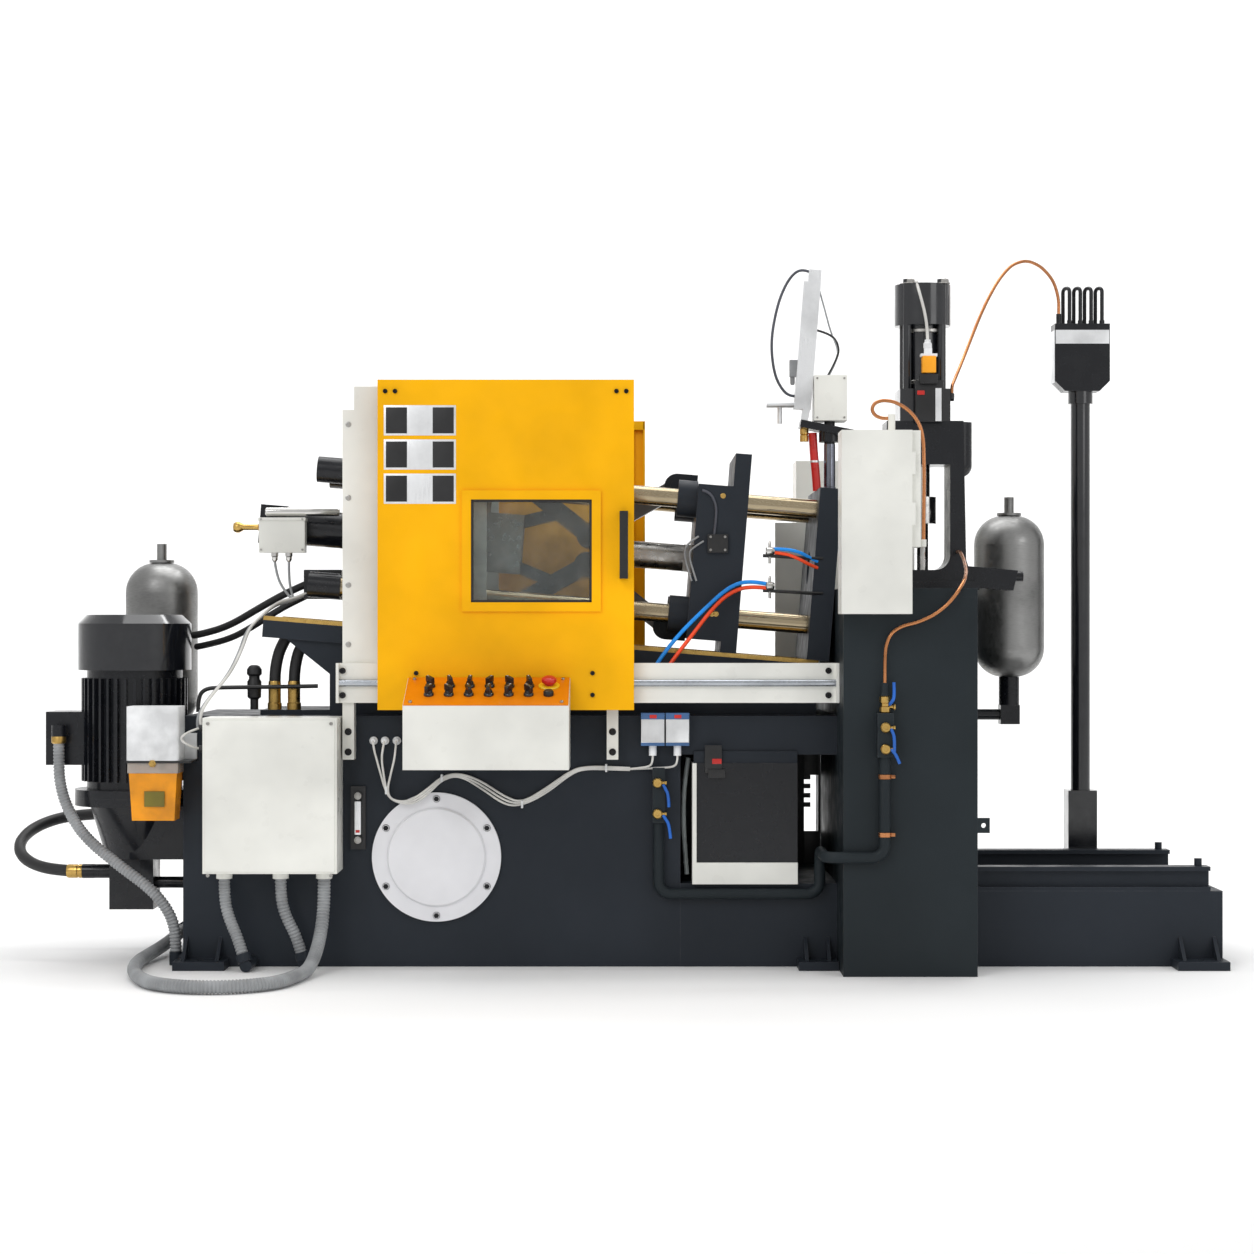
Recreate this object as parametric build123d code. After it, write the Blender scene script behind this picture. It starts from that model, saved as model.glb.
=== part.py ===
# A small hot chamber die casting machine, in millimetres.
# X runs along the machine to the right, Y away from the operator, Z up.
# The origin is the middle of the underside of the pillar, on the floor.
import os
from math import asin, atan2, cos, degrees, hypot, radians, sin, sqrt, tan

from build123d import *

os.makedirs("parts", exist_ok=True)

# Pillar that carries the shot unit, built as a portal over the furnace bay
pillar_width = 376
pillar_depth = 1100
pillar_rise = 366
pillar_leg_depth = 200
pillar_deck_thickness = 25
pillar_wall = 25
pillar_floor_thickness = 12
pillar_floor_half = 250
lug_reach = 34
lug_height = 42
lug_thickness = 12
lug_z = 424
lug_hole_radius = 7

# Base: the oil tank, and a bay under the dies
base_length = 1887
base_width = 640
base_height = 723
bay_length = 452
bay_floor = 240
bay_roof_thickness = 111
lid_length = 250
lid_width = 380
lid_thickness = 14
lid_from_left = 205

# Feet
foot_thickness = 25
foot_reach = 100
foot_hole_radius = 11
foot_end_width = 148
foot_middle_width = 114
foot_overhang = 15
foot_middle_setback = 116
foot_right_setback = 148
gusset_inset = 20
gusset_height = 62
gusset_thickness = 10
gusset_reach = 70

# Furnace frame and its rails
furnace_reach = 737
furnace_height = 218
furnace_beam = 60
rail_gauge = 590
rail_height = 70
rail_flange = 60
rail_web = 12
rail_flange_thickness = 12
rail_setback = 35
stop_pin_radius = 11
stop_pin_height = 22

# Distributor on its pole
pole_setback = 295
pole_radius = 30
pole_top = 1680
socket_width = 90
socket_height = 469
head_width = 172
head_height = 211
head_depth = 80
head_chamfer = 32
collar_radius = 38
collar_height = 38
outlet_count = 5
outlet_pitch = 34
outlet_radius = 8
outlet_height = 14
hairpin_radius = 6
hairpin_rise = 102
hairpin_span = 28
hairpin_lean = 16
hairpin_bend = 13

# Nitrogen accumulators
bottle_radius = 109.5
bottle_height = 507
bottle_dome_radius = 92
neck_radius = 38
neck_height = 8
stem_radius = 15
stem_height = 50
right_bottle_gap = 220
right_bottle_y = 380
right_bottle_drop = 266
left_bottle_gap = 154
left_bottle_y = 215
left_bottle_drop = 52
fitting_radius = 32
fitting_height = 88
elbow_width = 60
elbow_pipe_radius = 17
bottle_shelf_thickness = 20

# Motor and pump
motor_gap = 183
motor_y = -80
cowl_radius = 166
cowl_height = 163
cowl_chamfer = 26
motor_core_radius = 140
motor_height = 352
fin_count = 36
fin_thickness = 7
fin_reach = 16
terminal_length = 110
terminal_depth = 140
terminal_height = 157
terminal_lift = 96
flange_radius = 175
flange_thickness = 24
bell_height = 157
bell_top_radius = 131
bell_bottom_radius = 84
pump_width = 130
pump_depth = 120
pump_height = 150
pump_floor_gap = 146
bracket_half_depth = 90
suction_radius = 17
pump_port_radius = 21
pump_port_length = 55

# Lubricator
lubricator_width = 150
lubricator_depth = 112
lubricator_head_height = 160
lubricator_tank_height = 165
lubricator_drop = 129
lubricator_offset = 67
lubricator_taper_share = 0.86
lubricator_gap = 10

# Boxes on the front
junction_width = 380
junction_height = 441
junction_depth = 160
junction_left_gap = 81
junction_lip = 4
junction_lip_inset = 6
console_length = 460
console_from_left = 660
console_front_height = 178
console_rise = 73
console_depth = 190
console_drop = 139
console_standoff = 130
console_arm_width = 50
console_arm_height = 60
console_arm_inset = 70
console_wall_edge = 4
switch_rows = 2
switch_columns = 7
switch_pitch = 58
switch_row_pitch = 62
switch_radius = 13
switch_height = 22
emergency_radius = 20
emergency_height = 30
cover_from_left = 732
cover_drop = 406
cover_radius = 186
cover_thickness = 12
cover_dome_radius = 142
cover_dome_height = 9
cover_bolt_count = 6
cover_bolt_circle = 168
cover_bolt_radius = 9
cover_bolt_height = 6
gauge_from_left = 506
gauge_drop = 293
gauge_width = 43
gauge_height = 182
gauge_thickness = 9
gauge_tube_radius = 9
gauge_bolt_pitch = 127
gauge_bolt_radius = 12

# Guard rail, posts and guards
rail_y = 378
track_thickness = 12
track_height = 114
track_rise = 40
track_left = -1625
track_rib = 8
track_bar_radius = 10
track_bar_standoff = 7
post_width = 33
post_drop = 123
post_left = -1609
post_middle = -852
fixed_guard_length = 412
fixed_guard_height = 792
fixed_guard_sheet = 3
fixed_guard_edge = 24
fixed_guard_notch = 67
end_guard_width = 137
end_guard_gap = 3
end_guard_height = 431
door_left = -1503
door_width = 729
door_hang = 19
door_height = 939
door_depth = 28
door_sheet = 4
door_gap = 5
door_open_stroke = 110
door_close_stroke = 575
window_from_left = 266
window_width = 343
window_rise = 306
window_height = 292
window_frame = 26
window_frame_rise = 9
pane_thickness = 6
pane_lap = 12
handle_from_right = 29
handle_rise = 373
handle_height = 191
handle_width = 24
handle_standoff = 34
handle_bar = 14
carriage_length = 80
carriage_height = 50
carriage_clearance = 0.5

# Clamp unit, in its own tilted frame from the die face of the fixed platen
clamp_tilt = 4.6
die_face_x = -250
die_rise = 434
bar_pitch = 340
bar_radius = 27.5
bar_clearance = 0.3
seat_clearance = 0.2
bed_drop = 272
fixed_platen_thickness = 65
platen_half_width = 265
fixed_platen_top = 230
sprue_radius = 50
sprue_relief_radius = 20
die_gap = 205
moving_plate_thickness = 47
moving_plate_top = 310
moving_plate_half_width = 250
moving_body_thickness = 101
moving_body_top = 213
moving_body_lift = 32
boss_radius = 54
boss_length = 57
slide_gap = 0.3
rear_platen_thickness = 90
rear_platen_top = 270
bar_tail = 391
bar_cap_radius = 38
bar_cap_length = 95
bar_cap_end = 12
bar_nut_radius = 45
bar_nut_length = 40
ejector_radius = 40
ejector_length = 200

# Toggle
link_length = 300
toggle_pivot_height = 210
open_angle = 33.6
locked_angle = 2
ear_reach = 60
rear_ear_reach = 65
front_link_half_width = 35
rear_link_inner = 40
rear_link_outer = 62
moving_ear_outer = 62
rear_ear_inner = 68
rear_ear_outer = 95
link_eye_radius = 38
link_half_height = 26
toggle_pin_radius = 20
pin_clearance = 0.05
pin_head_height = 8
cross_pivot_share = 0.6333
cross_length = 145
cross_pin_height = 60
cross_pin_radius = 14
cross_eye_radius = 26
cross_half_height = 18
cross_half_width = 30
crosshead_cheek_inner = 35
crosshead_cheek_outer = 60
crosshead_front = 32
crosshead_web = 35
crosshead_back = 75
crosshead_half_height = 88
ear_root_height = 62

# Clamp cylinder
rod_radius = 28
rod_clearance = 0.1
bore_radius = 42
barrel_radius = 54
barrel_flange_half = 75
barrel_flange_thickness = 25
end_cap_half = 58
end_cap_thickness = 40
barrel_length = 538
piston_length = 34
piston_clearance = 0.1
piston_back = 46

# Bed under the clamp unit
bed_track = 215
bed_beam_width = 60
bed_beam_height = 50
strip_thickness = 12
bed_plate_thickness = 30
bed_setback = 244
bed_plate_setback = 413
bed_nose_setback = 285
bed_right_gap = 4
bed_cross_thickness = 30
bed_cross_height = 120
bed_cross_inset = 60

# Shot unit
shot_x = 94
shot_frame_width = 244
shot_frame_depth = 150
shot_frame_height = 505
shot_frame_draft = 8
shot_flare_height = 64
shot_flare_radius = 40
shot_boss_radius = 34
shot_boss_drop = 130
shot_flange_width = 315
shot_flange_depth = 210
shot_flange_thickness = 26
shot_window_width = 148
shot_window_sill = 61
shot_window_height = 314
shot_window_radius = 45
shot_well_radius = 60
shot_base_height = 96
shot_base_width = 150
shot_barrel_radius = 56
shot_barrel_height = 288
shot_cap_radius = 84
shot_cap_height = 123
shot_rod_count = 4
shot_rod_radius = 13
shot_rod_circle = 72
plunger_rod_radius = 22
coupling_radius = 40
coupling_height = 80
coupling_drop = 94
plunger_radius = 17
plunger_bottom = 1110
shot_stroke = 100
arm_length = 124
arm_height = 62
arm_depth = 80
arm_bottom_gap = 12
arm_taper = 14
arm_nose_radius = 15
arm_nose_length = 34

# Cabinet on the pillar
cabinet_width = 195
cabinet_height = 507
cabinet_depth = 106
cabinet_overlap = 15
cabinet_drop = 73
cabinet_door_thickness = 18
cabinet_door_gap = 0.5
cabinet_sheet = 2
cabinet_strip_width = 25
cabinet_strip_height = 322
hinge_radius = 5
hinge_length = 62
hinge_inset = 60
cabinet_swing = 110

# Sprayer
spray_post_x = -193
spray_post_y = -100
spray_post_radius = 16
spray_post_top = 1528
spray_arm_length = 180
spray_arm_depth = 84
spray_arm_thickness = 22
spray_arm_tilt = 11
spray_arm_z = 1565
spray_box_width = 94
spray_box_depth = 100
spray_box_height = 132
spray_box_z = 1590
spray_profile_width = 50
spray_profile_length = 378
spray_profile_x = -275
spray_profile_z = 1625
spray_cap_height = 38
spray_foot_length = 21
spray_foot_height = 38
finger_radius = 7
finger_length = 80
finger_pitch = 30
nozzle_drop = 55

# Water manifold and pipes
pipe_radius = 16
pipe_standoff = 4
manifold_width = 45
manifold_depth = 45
manifold_height = 123
manifold_from_left = 114
manifold_drop = 106
left_manifold_gap = 63
left_manifold_drop = 305
left_manifold_height = 157
left_manifold_width = 35
pipe_low_z = 212
pipe_mid_z = 336
pipe_riser_gap = 15
pipe_bend_radius = 36
nipple_radius = 11
nipple_height = 84

# Discharge chute
chute_from_left = 34
chute_width = 303
chute_tray_height = 62
chute_top_gap = 24
chute_thickness = 6
chute_reach = 26
chute_inner_depth = 90
curtain_setback = 12
curtain_thickness = 8

# Rear electrical cabinet
rear_cabinet_overlap = 63
rear_cabinet_width = 380
rear_cabinet_depth = 190
rear_cabinet_height = 813
rear_cabinet_drop = 389

# Flow switches on the front of the base
flow_switch_width = 66
flow_switch_height = 92
flow_switch_depth = 45
flow_switch_drop = 83
flow_switch_pitch = 71
flow_switch_gap = 80
flow_gland_radius = 11
flow_gland_height = 30

# Conduits, the pump's hose and the copper tubes, with their fittings
motor_conduit_radius = 17
floor_conduit_radius = 19
box_conduit_radius = 17
hose_radius = 17.5
copper_radius = 5
run_share = 0.45
gland_wall = 4
gland_length = 20
conduit_elbow_length = 34
pipe_floor_gap = 1
hose_fitting_length = 35
copper_nut_radius = 8
copper_nut_length = 20
copper_stud_radius = 10
copper_stud_height = 50
frame_stud_length = 18

# Routes of the cords and copper tubes, point by point
motor_route = [(-2462, -187, 650), (-2462, -187, 598), (-2458, -194, 520), (-2430, -212, 444),
               (-2372, -250, 366), (-2268, -276, 288), (-2170, -286, 218), (-2122, -288, 158),
               (-2101, -288, 98), (-2101, -288, 40)]
floor_route = [(-1659, -400, 262), (-1659, -400, 198), (-1662, -420, 135), (-1668, -459, 81),
               (-1677, -512, 42), (-1687, -575, 20), (-1703, -680, 20), (-1733, -810, 20),
               (-1800, -884, 20), (-1895, -917, 20), (-1993, -900, 20), (-2071, -837, 20),
               (-2118, -749, 20), (-2160, -625, 20), (-2188, -480, 20), (-2199, -340, 20),
               (-2192, -205, 22), (-2174, -90, 32), (-2156, 10, 46), (-2150, 100, 54),
               (-2150, 150, 54)]
left_box_route = [(-1944, -400, 262), (-1944, -400, 204), (-1928, -410, 146), (-1902, -428, 96),
                  (-1886, -439, 50)]
right_box_route = [(-1783, -400, 262), (-1783, -400, 204), (-1767, -396, 148), (-1741, -390, 100),
                   (-1727, -387, 52)]
hose_route = [(-2413, -80, 254), (-2459, -80, 254), (-2550, -58, 264), (-2616, 3, 291),
              (-2641, 87, 327), (-2616, 170, 364), (-2550, 231, 391), (-2459, 253, 400),
              (-2361, 257, 404), (-2263, 258, 399), (-2170, 256, 396), (-2110, 256, 396)]
upper_copper_route = [(562, 365, 1963), (562, 365, 2012), (544, 352, 2066), (502, 330, 2108),
                      (452, 303, 2124), (402, 272, 2106), (360, 241, 2060), (322, 210, 1998),
                      (288, 178, 1930), (256, 142, 1856), (224, 98, 1784), (198, 46, 1732),
                      (184, 10, 1706), (182, 0, 1680)]
lower_copper_route = [(188, -93, 1203), (188, -140, 1203), (186, -225, 1187), (180, -330, 1162),
                      (170, -440, 1138), (154, -530, 1112), (130, -572, 1078), (104, -576, 1046),
                      (68, -575, 1016), (22, -575, 994), (-28, -575, 982), (-58, -575, 962),
                      (-72, -573, 926), (-74, -572.5, 876), (-74, -572.5, 824)]
loop_copper_route = [(-66, -580, 1562), (-84, -580, 1562), (-103, -580, 1570), (-112, -580, 1587),
                     (-104, -580, 1604), (-84, -580, 1612), (-54, -580, 1610), (-20, -580, 1594),
                     (8, -580, 1568), (26, -580, 1536), (33, -580, 1496), (35, -580, 1410),
                     (34, -580, 1320), (33, -580, 1224)]

# Places worked out from the sizes above
pillar_height = base_height + pillar_rise
die_face_z = base_height + die_rise
track_bottom = base_height + track_rise
track_top = track_bottom + track_height
post_bottom = base_height - post_drop
fixed_guard_top = track_top + fixed_guard_height
end_guard_top = track_top + end_guard_height
door_bottom = track_bottom - door_hang
door_right = door_left + door_width
window_left = door_left + window_from_left
window_bottom = door_bottom + window_rise
handle_x = door_right - handle_from_right
handle_bottom = door_bottom + handle_rise
console_bottom = base_height - console_drop
flow_switch_z = base_height - flow_switch_drop
half_pillar = pillar_width / 2
half_depth = pillar_depth / 2
half_base = base_width / 2
base_right = -half_pillar
base_left = base_right - base_length
bay_left = base_right - bay_length
bed_left = base_left + bed_setback
bed_plate_left = base_left + bed_plate_setback
bed_nose_left = base_left + bed_nose_setback
pole_x = half_pillar + furnace_reach - pole_setback
foot_left = base_left - foot_overhang
foot_middle = base_right - foot_middle_setback
foot_right = half_pillar + furnace_reach - foot_right_setback
left_bottle_x = base_left - left_bottle_gap
left_bottle_z = base_height - left_bottle_drop
right_bottle_x = half_pillar + right_bottle_gap
right_bottle_z = pillar_height - right_bottle_drop
motor_x = base_left - motor_gap
lubricator_x = base_left - lubricator_offset
lubricator_z = base_height - lubricator_drop
console_left = base_left + console_from_left
cover_x = base_left + cover_from_left
cover_z = base_height - cover_drop
gauge_x = base_left + gauge_from_left
gauge_z = base_height - gauge_drop
cabinet_left = -half_pillar - cabinet_overlap
cabinet_bottom = pillar_height - cabinet_drop
manifold_x = manifold_from_left - half_pillar
manifold_z = base_height - manifold_drop
left_manifold_x = bay_left - left_manifold_gap
left_manifold_z = base_height - left_manifold_drop
pipe_riser_x = base_right - pipe_riser_gap
chute_left = bay_left + chute_from_left
rear_cabinet_left = -half_pillar - rear_cabinet_overlap
rear_cabinet_bottom = pillar_height - rear_cabinet_drop
rear_cabinet_top = rear_cabinet_bottom + rear_cabinet_height
flow_switch_x = bay_left - flow_switch_gap
bay_roof = base_height - bay_roof_thickness
chute_top = bay_roof - chute_top_gap
tilt = radians(clamp_tilt)
clamp_frame = Pos(die_face_x, 0, die_face_z) * Rot(0, clamp_tilt, 0)
half_pitch = bar_pitch / 2
platen_bottom = -bed_drop
moving_face = -die_gap
moving_plate_back = moving_face - moving_plate_thickness
moving_back = moving_plate_back - moving_body_thickness
front_pivot = moving_back - ear_reach
rear_pivot = front_pivot - 2 * link_length * cos(radians(open_angle))
rear_face = rear_pivot - rear_ear_reach
rear_back = rear_face - rear_platen_thickness
knee_u = rear_pivot + link_length * cos(radians(open_angle))
knee_w = toggle_pivot_height - link_length * sin(radians(open_angle))
cross_pivot = link_length * cross_pivot_share
flange_z = pump_floor_gap + pump_height + bell_height
terminal_bottom = flange_z + flange_thickness + terminal_lift
deck_top = pillar_height
shot_top = deck_top + shot_frame_height
TURNS = {"X": Rot(0, 90, 0), "Y": Rot(-90, 0, 0), "Z": Rot(0, 0, 0)}
FROM_END = (Align.CENTER, Align.CENTER, Align.MIN)


def block(x_span, y_span, z_span):
    """A box between two ends on each axis."""
    spans = (x_span, y_span, z_span)
    middle = [(high + low) / 2 for low, high in spans]
    size = [high - low for low, high in spans]
    return Pos(*middle) * Box(*size)


def bar(start, axis, length, radius):
    """A round bar that runs from start along one axis."""
    return Pos(*start) * TURNS[axis] * Cylinder(radius, length, align=FROM_END)


def both_sides(piece):
    """A piece and its mirror image across the centre plane."""
    return piece + mirror(piece, about=Plane.XZ)


def plate_xz(points, y_low, thickness):
    """A flat plate with an outline in X and Z, thickness along Y."""
    outline = Plane.XZ * make_face(Polyline(*points, close=True))
    return Pos(0, y_low + thickness, 0) * extrude(outline, thickness)


def hull_bar(start, end, half_height, y_low, y_high):
    """A straight link between two points of the clamp frame, seen along Y."""
    run = hypot(end[0] - start[0], end[1] - start[1])
    angle = degrees(atan2(end[1] - start[1], end[0] - start[0]))
    web = block((0, run), (y_low, y_high), (-half_height, half_height))
    return Pos(start[0], 0, start[1]) * Rot(0, -angle, 0) * web


def eye(centre, radius, y_low, y_high):
    """A round eye across Y at a point of the clamp frame."""
    return bar((centre[0], y_low, centre[1]), "Y", y_high - y_low, radius)


def cord_radii(points):
    """Arc radii for a route, each as large as its two runs allow."""
    places = [Vector(*point) for point in points]
    runs = [end - start for start, end in zip(places, places[1:])]
    radii = []
    for before, after in zip(runs, runs[1:]):
        half_turn = radians(before.get_angle(after) / 2)
        radii.append(run_share * min(before.length, after.length) / tan(half_turn))
    return radii


def cord(name, points, radius):
    """A tube along a route of straight runs and the arcs between them."""
    radii = cord_radii(points)
    wire = FilletPolyline(*points, radius=radii)
    print(name, "length", round(wire.length), "radii", [round(bend) for bend in radii])
    return sweep(Plane(origin=wire @ 0, z_dir=wire % 0) * Circle(radius), path=wire)


def sleeve(points, length, radius):
    """A round fitting that starts at a route's first point and leads away from it."""
    start = Vector(*points[0])
    away = start - Vector(*points[1])
    return Plane(origin=start, z_dir=away) * Cylinder(radius, length, align=FROM_END)


def wall_elbow(points, wall_x, radius):
    """An elbow from the last point of a route to a wall at its right."""
    back = points[::-1]
    start = Vector(*back[0])
    away = (start - Vector(*back[1])).normalized()
    turn = start + away * radius
    across = bar((turn.X, turn.Y, turn.Z), "X", wall_x - turn.X, radius - gland_wall / 2)
    return sleeve(back, 2 * radius, radius) + across


def floor_elbow(points, radius):
    """An elbow from the last point of a route to a pipe on the floor, back to the base."""
    back = points[::-1]
    start = Vector(*back[0])
    away = (start - Vector(*back[1])).normalized()
    foot_point = start + away * conduit_elbow_length
    pipe_z = box_conduit_radius + pipe_floor_gap
    pipe = bar((foot_point.X, foot_point.Y - radius / 2, pipe_z), "Y",
               -half_base - foot_point.Y + radius / 2, box_conduit_radius)
    return sleeve(back, conduit_elbow_length - radius / 2, radius) + pipe


# Base and feet
def base_tank():
    tank = block((base_left, bay_left), (-half_base, half_base), (0, base_height))
    lid_start = base_left + lid_from_left
    lid = block((lid_start, lid_start + lid_length), (-lid_width / 2, lid_width / 2),
                (base_height, base_height + lid_thickness))
    pieces = [tank + lid,
              wall_elbow(motor_route, base_left, motor_conduit_radius + gland_wall / 2),
              wall_elbow(floor_route, base_left, floor_conduit_radius + gland_wall),
              sleeve(hose_route[::-1], hose_fitting_length, hose_radius + gland_wall)]
    for route in (left_box_route, right_box_route):
        pieces.append(floor_elbow(route, box_conduit_radius + gland_wall))
    return Compound(pieces)


def base_bay():
    sill = block((bay_left, base_right), (-half_base, half_base), (0, bay_floor))
    roof = block((bay_left, base_right), (-half_base, half_base), (bay_roof, base_height))
    return Compound([sill, roof])


def foot(left, width, front):
    """One foot: a drilled plate with two welded gussets, in front of a wall."""
    plate = block((left, left + width), (front - foot_reach, front), (0, foot_thickness))
    hole = bar((left + width / 2, front - foot_reach / 2, 0), "Z", foot_thickness, foot_hole_radius)
    plate = plate - hole
    outline = [(front, foot_thickness), (front - gusset_reach, foot_thickness),
               (front, foot_thickness + gusset_height)]
    for x_start in (left + gusset_inset, left + width - gusset_inset - gusset_thickness):
        web = Plane.YZ * make_face(Polyline(*outline, close=True))
        plate = plate + Pos(x_start, 0, 0) * extrude(web, gusset_thickness)
    return plate


def floor_feet():
    front = [foot(foot_left, foot_end_width, -half_base),
             foot(foot_middle, foot_middle_width, -half_base),
             foot(foot_right, foot_end_width, -half_base)]
    rear = [mirror(piece, about=Plane.XZ) for piece in front]
    return Compound(front + rear)


# Pillar and furnace frame
def pillar():
    leg = block((-half_pillar, half_pillar), (-half_depth, pillar_leg_depth - half_depth),
                (0, deck_top - pillar_deck_thickness))
    inner = half_depth - pillar_leg_depth
    wall = block((-half_pillar, pillar_wall - half_pillar), (-inner, inner),
                 (0, deck_top - pillar_deck_thickness))
    deck = block((-half_pillar, half_pillar), (-half_depth, half_depth),
                 (deck_top - pillar_deck_thickness, deck_top))
    well = bar((shot_x, 0, deck_top - pillar_deck_thickness), "Z", pillar_deck_thickness,
               shot_well_radius)
    floor_tie = block((pillar_wall - half_pillar, half_pillar), (-pillar_floor_half, pillar_floor_half),
                      (0, pillar_floor_thickness))
    lug = block((half_pillar, half_pillar + lug_reach), (-half_depth, lug_thickness - half_depth),
                (lug_z - lug_height / 2, lug_z + lug_height / 2))
    lug_hole = bar((half_pillar + lug_reach / 2, -half_depth, lug_z), "Y", lug_thickness,
                   lug_hole_radius)
    rear_leg = mirror(leg, about=Plane.XZ)
    return Compound([leg, rear_leg, wall, deck - well, floor_tie, lug - lug_hole])


def furnace_frame():
    inside = pillar_wall - half_pillar
    end = half_pillar + furnace_reach
    side = block((inside, end), (-half_base, furnace_beam - half_base), (0, furnace_height))
    inner = half_base - furnace_beam
    cross = block((end - furnace_beam, end), (-inner, inner), (0, furnace_height))
    return both_sides(side) + cross


def furnace_rails():
    inside = pillar_wall - half_pillar
    end = half_pillar + furnace_reach - rail_setback
    length = end - inside
    half = rail_flange / 2
    web = block((0, length), (-rail_web / 2, rail_web / 2), (0, rail_height))
    foot_plate = block((0, length), (-half, half), (0, rail_flange_thickness))
    head = block((0, length), (-half, half), (rail_height - rail_flange_thickness, rail_height))
    stop = bar((length - rail_flange / 2, 0, rail_height), "Z", stop_pin_height, stop_pin_radius)
    rail = web + foot_plate + head + stop
    rails = [Pos(inside, side * rail_y_offset, furnace_height) * rail for side in (-1, 1)]
    return Compound(rails)


rail_y_offset = half_base - rail_flange / 2


# Distributor
def distributor_pole():
    y = half_base + socket_width / 2
    half = socket_width / 2
    socket = block((pole_x - half, pole_x + half), (half_base, half_base + socket_width),
                   (0, socket_height))
    pole = bar((pole_x, y, socket_height), "Z", pole_top - socket_height, pole_radius)
    collar = bar((pole_x, y, pole_top), "Z", collar_height, collar_radius)
    return socket + pole + collar


def distributor_head():
    y = half_base + socket_width / 2
    bottom = pole_top + collar_height
    half = head_width / 2
    outline = [(pole_x - half, bottom + head_chamfer), (pole_x - half + head_chamfer, bottom),
               (pole_x + half - head_chamfer, bottom), (pole_x + half, bottom + head_chamfer),
               (pole_x + half, bottom + head_height), (pole_x - half, bottom + head_height)]
    head = plate_xz(outline, y - head_depth / 2, head_depth)
    for index in range(outlet_count):
        x = pole_x + (index - (outlet_count - 1) / 2) * outlet_pitch
        head = head + bar((x, y, bottom + head_height), "Z", outlet_height, outlet_radius)
    head = head + sleeve(upper_copper_route, copper_nut_length, copper_nut_radius)
    top = bottom + head_height
    pieces = [head]
    for index in range(1, outlet_count):
        x = pole_x + (index - (outlet_count - 1) / 2) * outlet_pitch
        pieces.append(hairpin(x, y, top))
    return Compound(pieces)


def hairpin(x, y, top):
    """A tube that leaves an outlet, turns over and goes back into the head."""
    back_x = x - hairpin_lean
    back_y = y + hairpin_span
    crest = top + outlet_height + hairpin_rise
    wire = FilletPolyline((x, y, top + outlet_height), (x, y, crest), (back_x, back_y, crest),
                          (back_x, back_y, top), radius=hairpin_bend)
    return sweep(Plane(origin=wire @ 0, z_dir=wire % 0) * Circle(hairpin_radius), path=wire)


# Accumulators
def bottle(x, y, z):
    body = bar((x, y, z), "Z", bottle_height, bottle_radius)
    body = fillet(body.edges().filter_by(GeomType.CIRCLE), bottle_dome_radius)
    neck = bar((x, y, z + bottle_height), "Z", neck_height, neck_radius)
    stem = bar((x, y, z + bottle_height + neck_height), "Z", stem_height, stem_radius)
    return body + neck + stem


def accumulators():
    return Compound([bottle(right_bottle_x, right_bottle_y, right_bottle_z),
                     bottle(left_bottle_x, left_bottle_y, left_bottle_z)])


def bottle_fitting(x, y, z, wall_x):
    """The neck under a bottle, its elbow block and the pipe back to a wall."""
    neck = bar((x, y, z - fitting_height), "Z", fitting_height, fitting_radius)
    half = elbow_width / 2
    bottom = z - fitting_height - elbow_width
    elbow = block((x - half, x + half), (y - half, y + half), (bottom, bottom + elbow_width))
    low = min(x, wall_x)
    pipe = bar((low, y, bottom + half), "X", abs(x - wall_x), elbow_pipe_radius)
    return neck + elbow + pipe


def accumulator_fittings():
    right = bottle_fitting(right_bottle_x, right_bottle_y, right_bottle_z, half_pillar)
    left = bottle_fitting(left_bottle_x, left_bottle_y, left_bottle_z, base_left)
    return Compound([right, left])


# Motor and pump
def motor_cowl():
    bottom = flange_z + 2 * flange_thickness + motor_height
    shell = bar((motor_x, motor_y, bottom), "Z", cowl_height, cowl_radius)
    return chamfer(shell.edges().sort_by(Axis.Z)[-1], cowl_chamfer)


def motor_body():
    bottom = flange_z + flange_thickness
    height = motor_height + flange_thickness
    core = bar((motor_x, motor_y, bottom), "Z", height, motor_core_radius)
    flange = bar((motor_x, motor_y, bottom), "Z", flange_thickness, flange_radius)
    body = core + flange
    fin_bottom = bottom + 2 * flange_thickness
    fin_height = height - 3 * flange_thickness
    fin = block((motor_core_radius - fin_reach, motor_core_radius + fin_reach),
                (-fin_thickness / 2, fin_thickness / 2), (0, fin_height))
    for index in range(fin_count):
        body = body + Pos(motor_x, motor_y, fin_bottom) * Rot(0, 0, index * 360 / fin_count) * fin
    box_right = motor_x - motor_core_radius + fin_reach
    box = block((box_right - terminal_length - fin_reach, box_right),
                (motor_y - terminal_depth / 2, motor_y + terminal_depth / 2),
                (terminal_bottom, terminal_bottom + terminal_height))
    elbow_radius = motor_conduit_radius + gland_wall
    x, y, z = motor_route[0]
    across = bar((x, y, z + elbow_radius), "Y", motor_y - terminal_depth / 2 - y,
                 elbow_radius - gland_wall / 2)
    return body + box + across + sleeve(motor_route, 2 * elbow_radius, elbow_radius)


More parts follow.
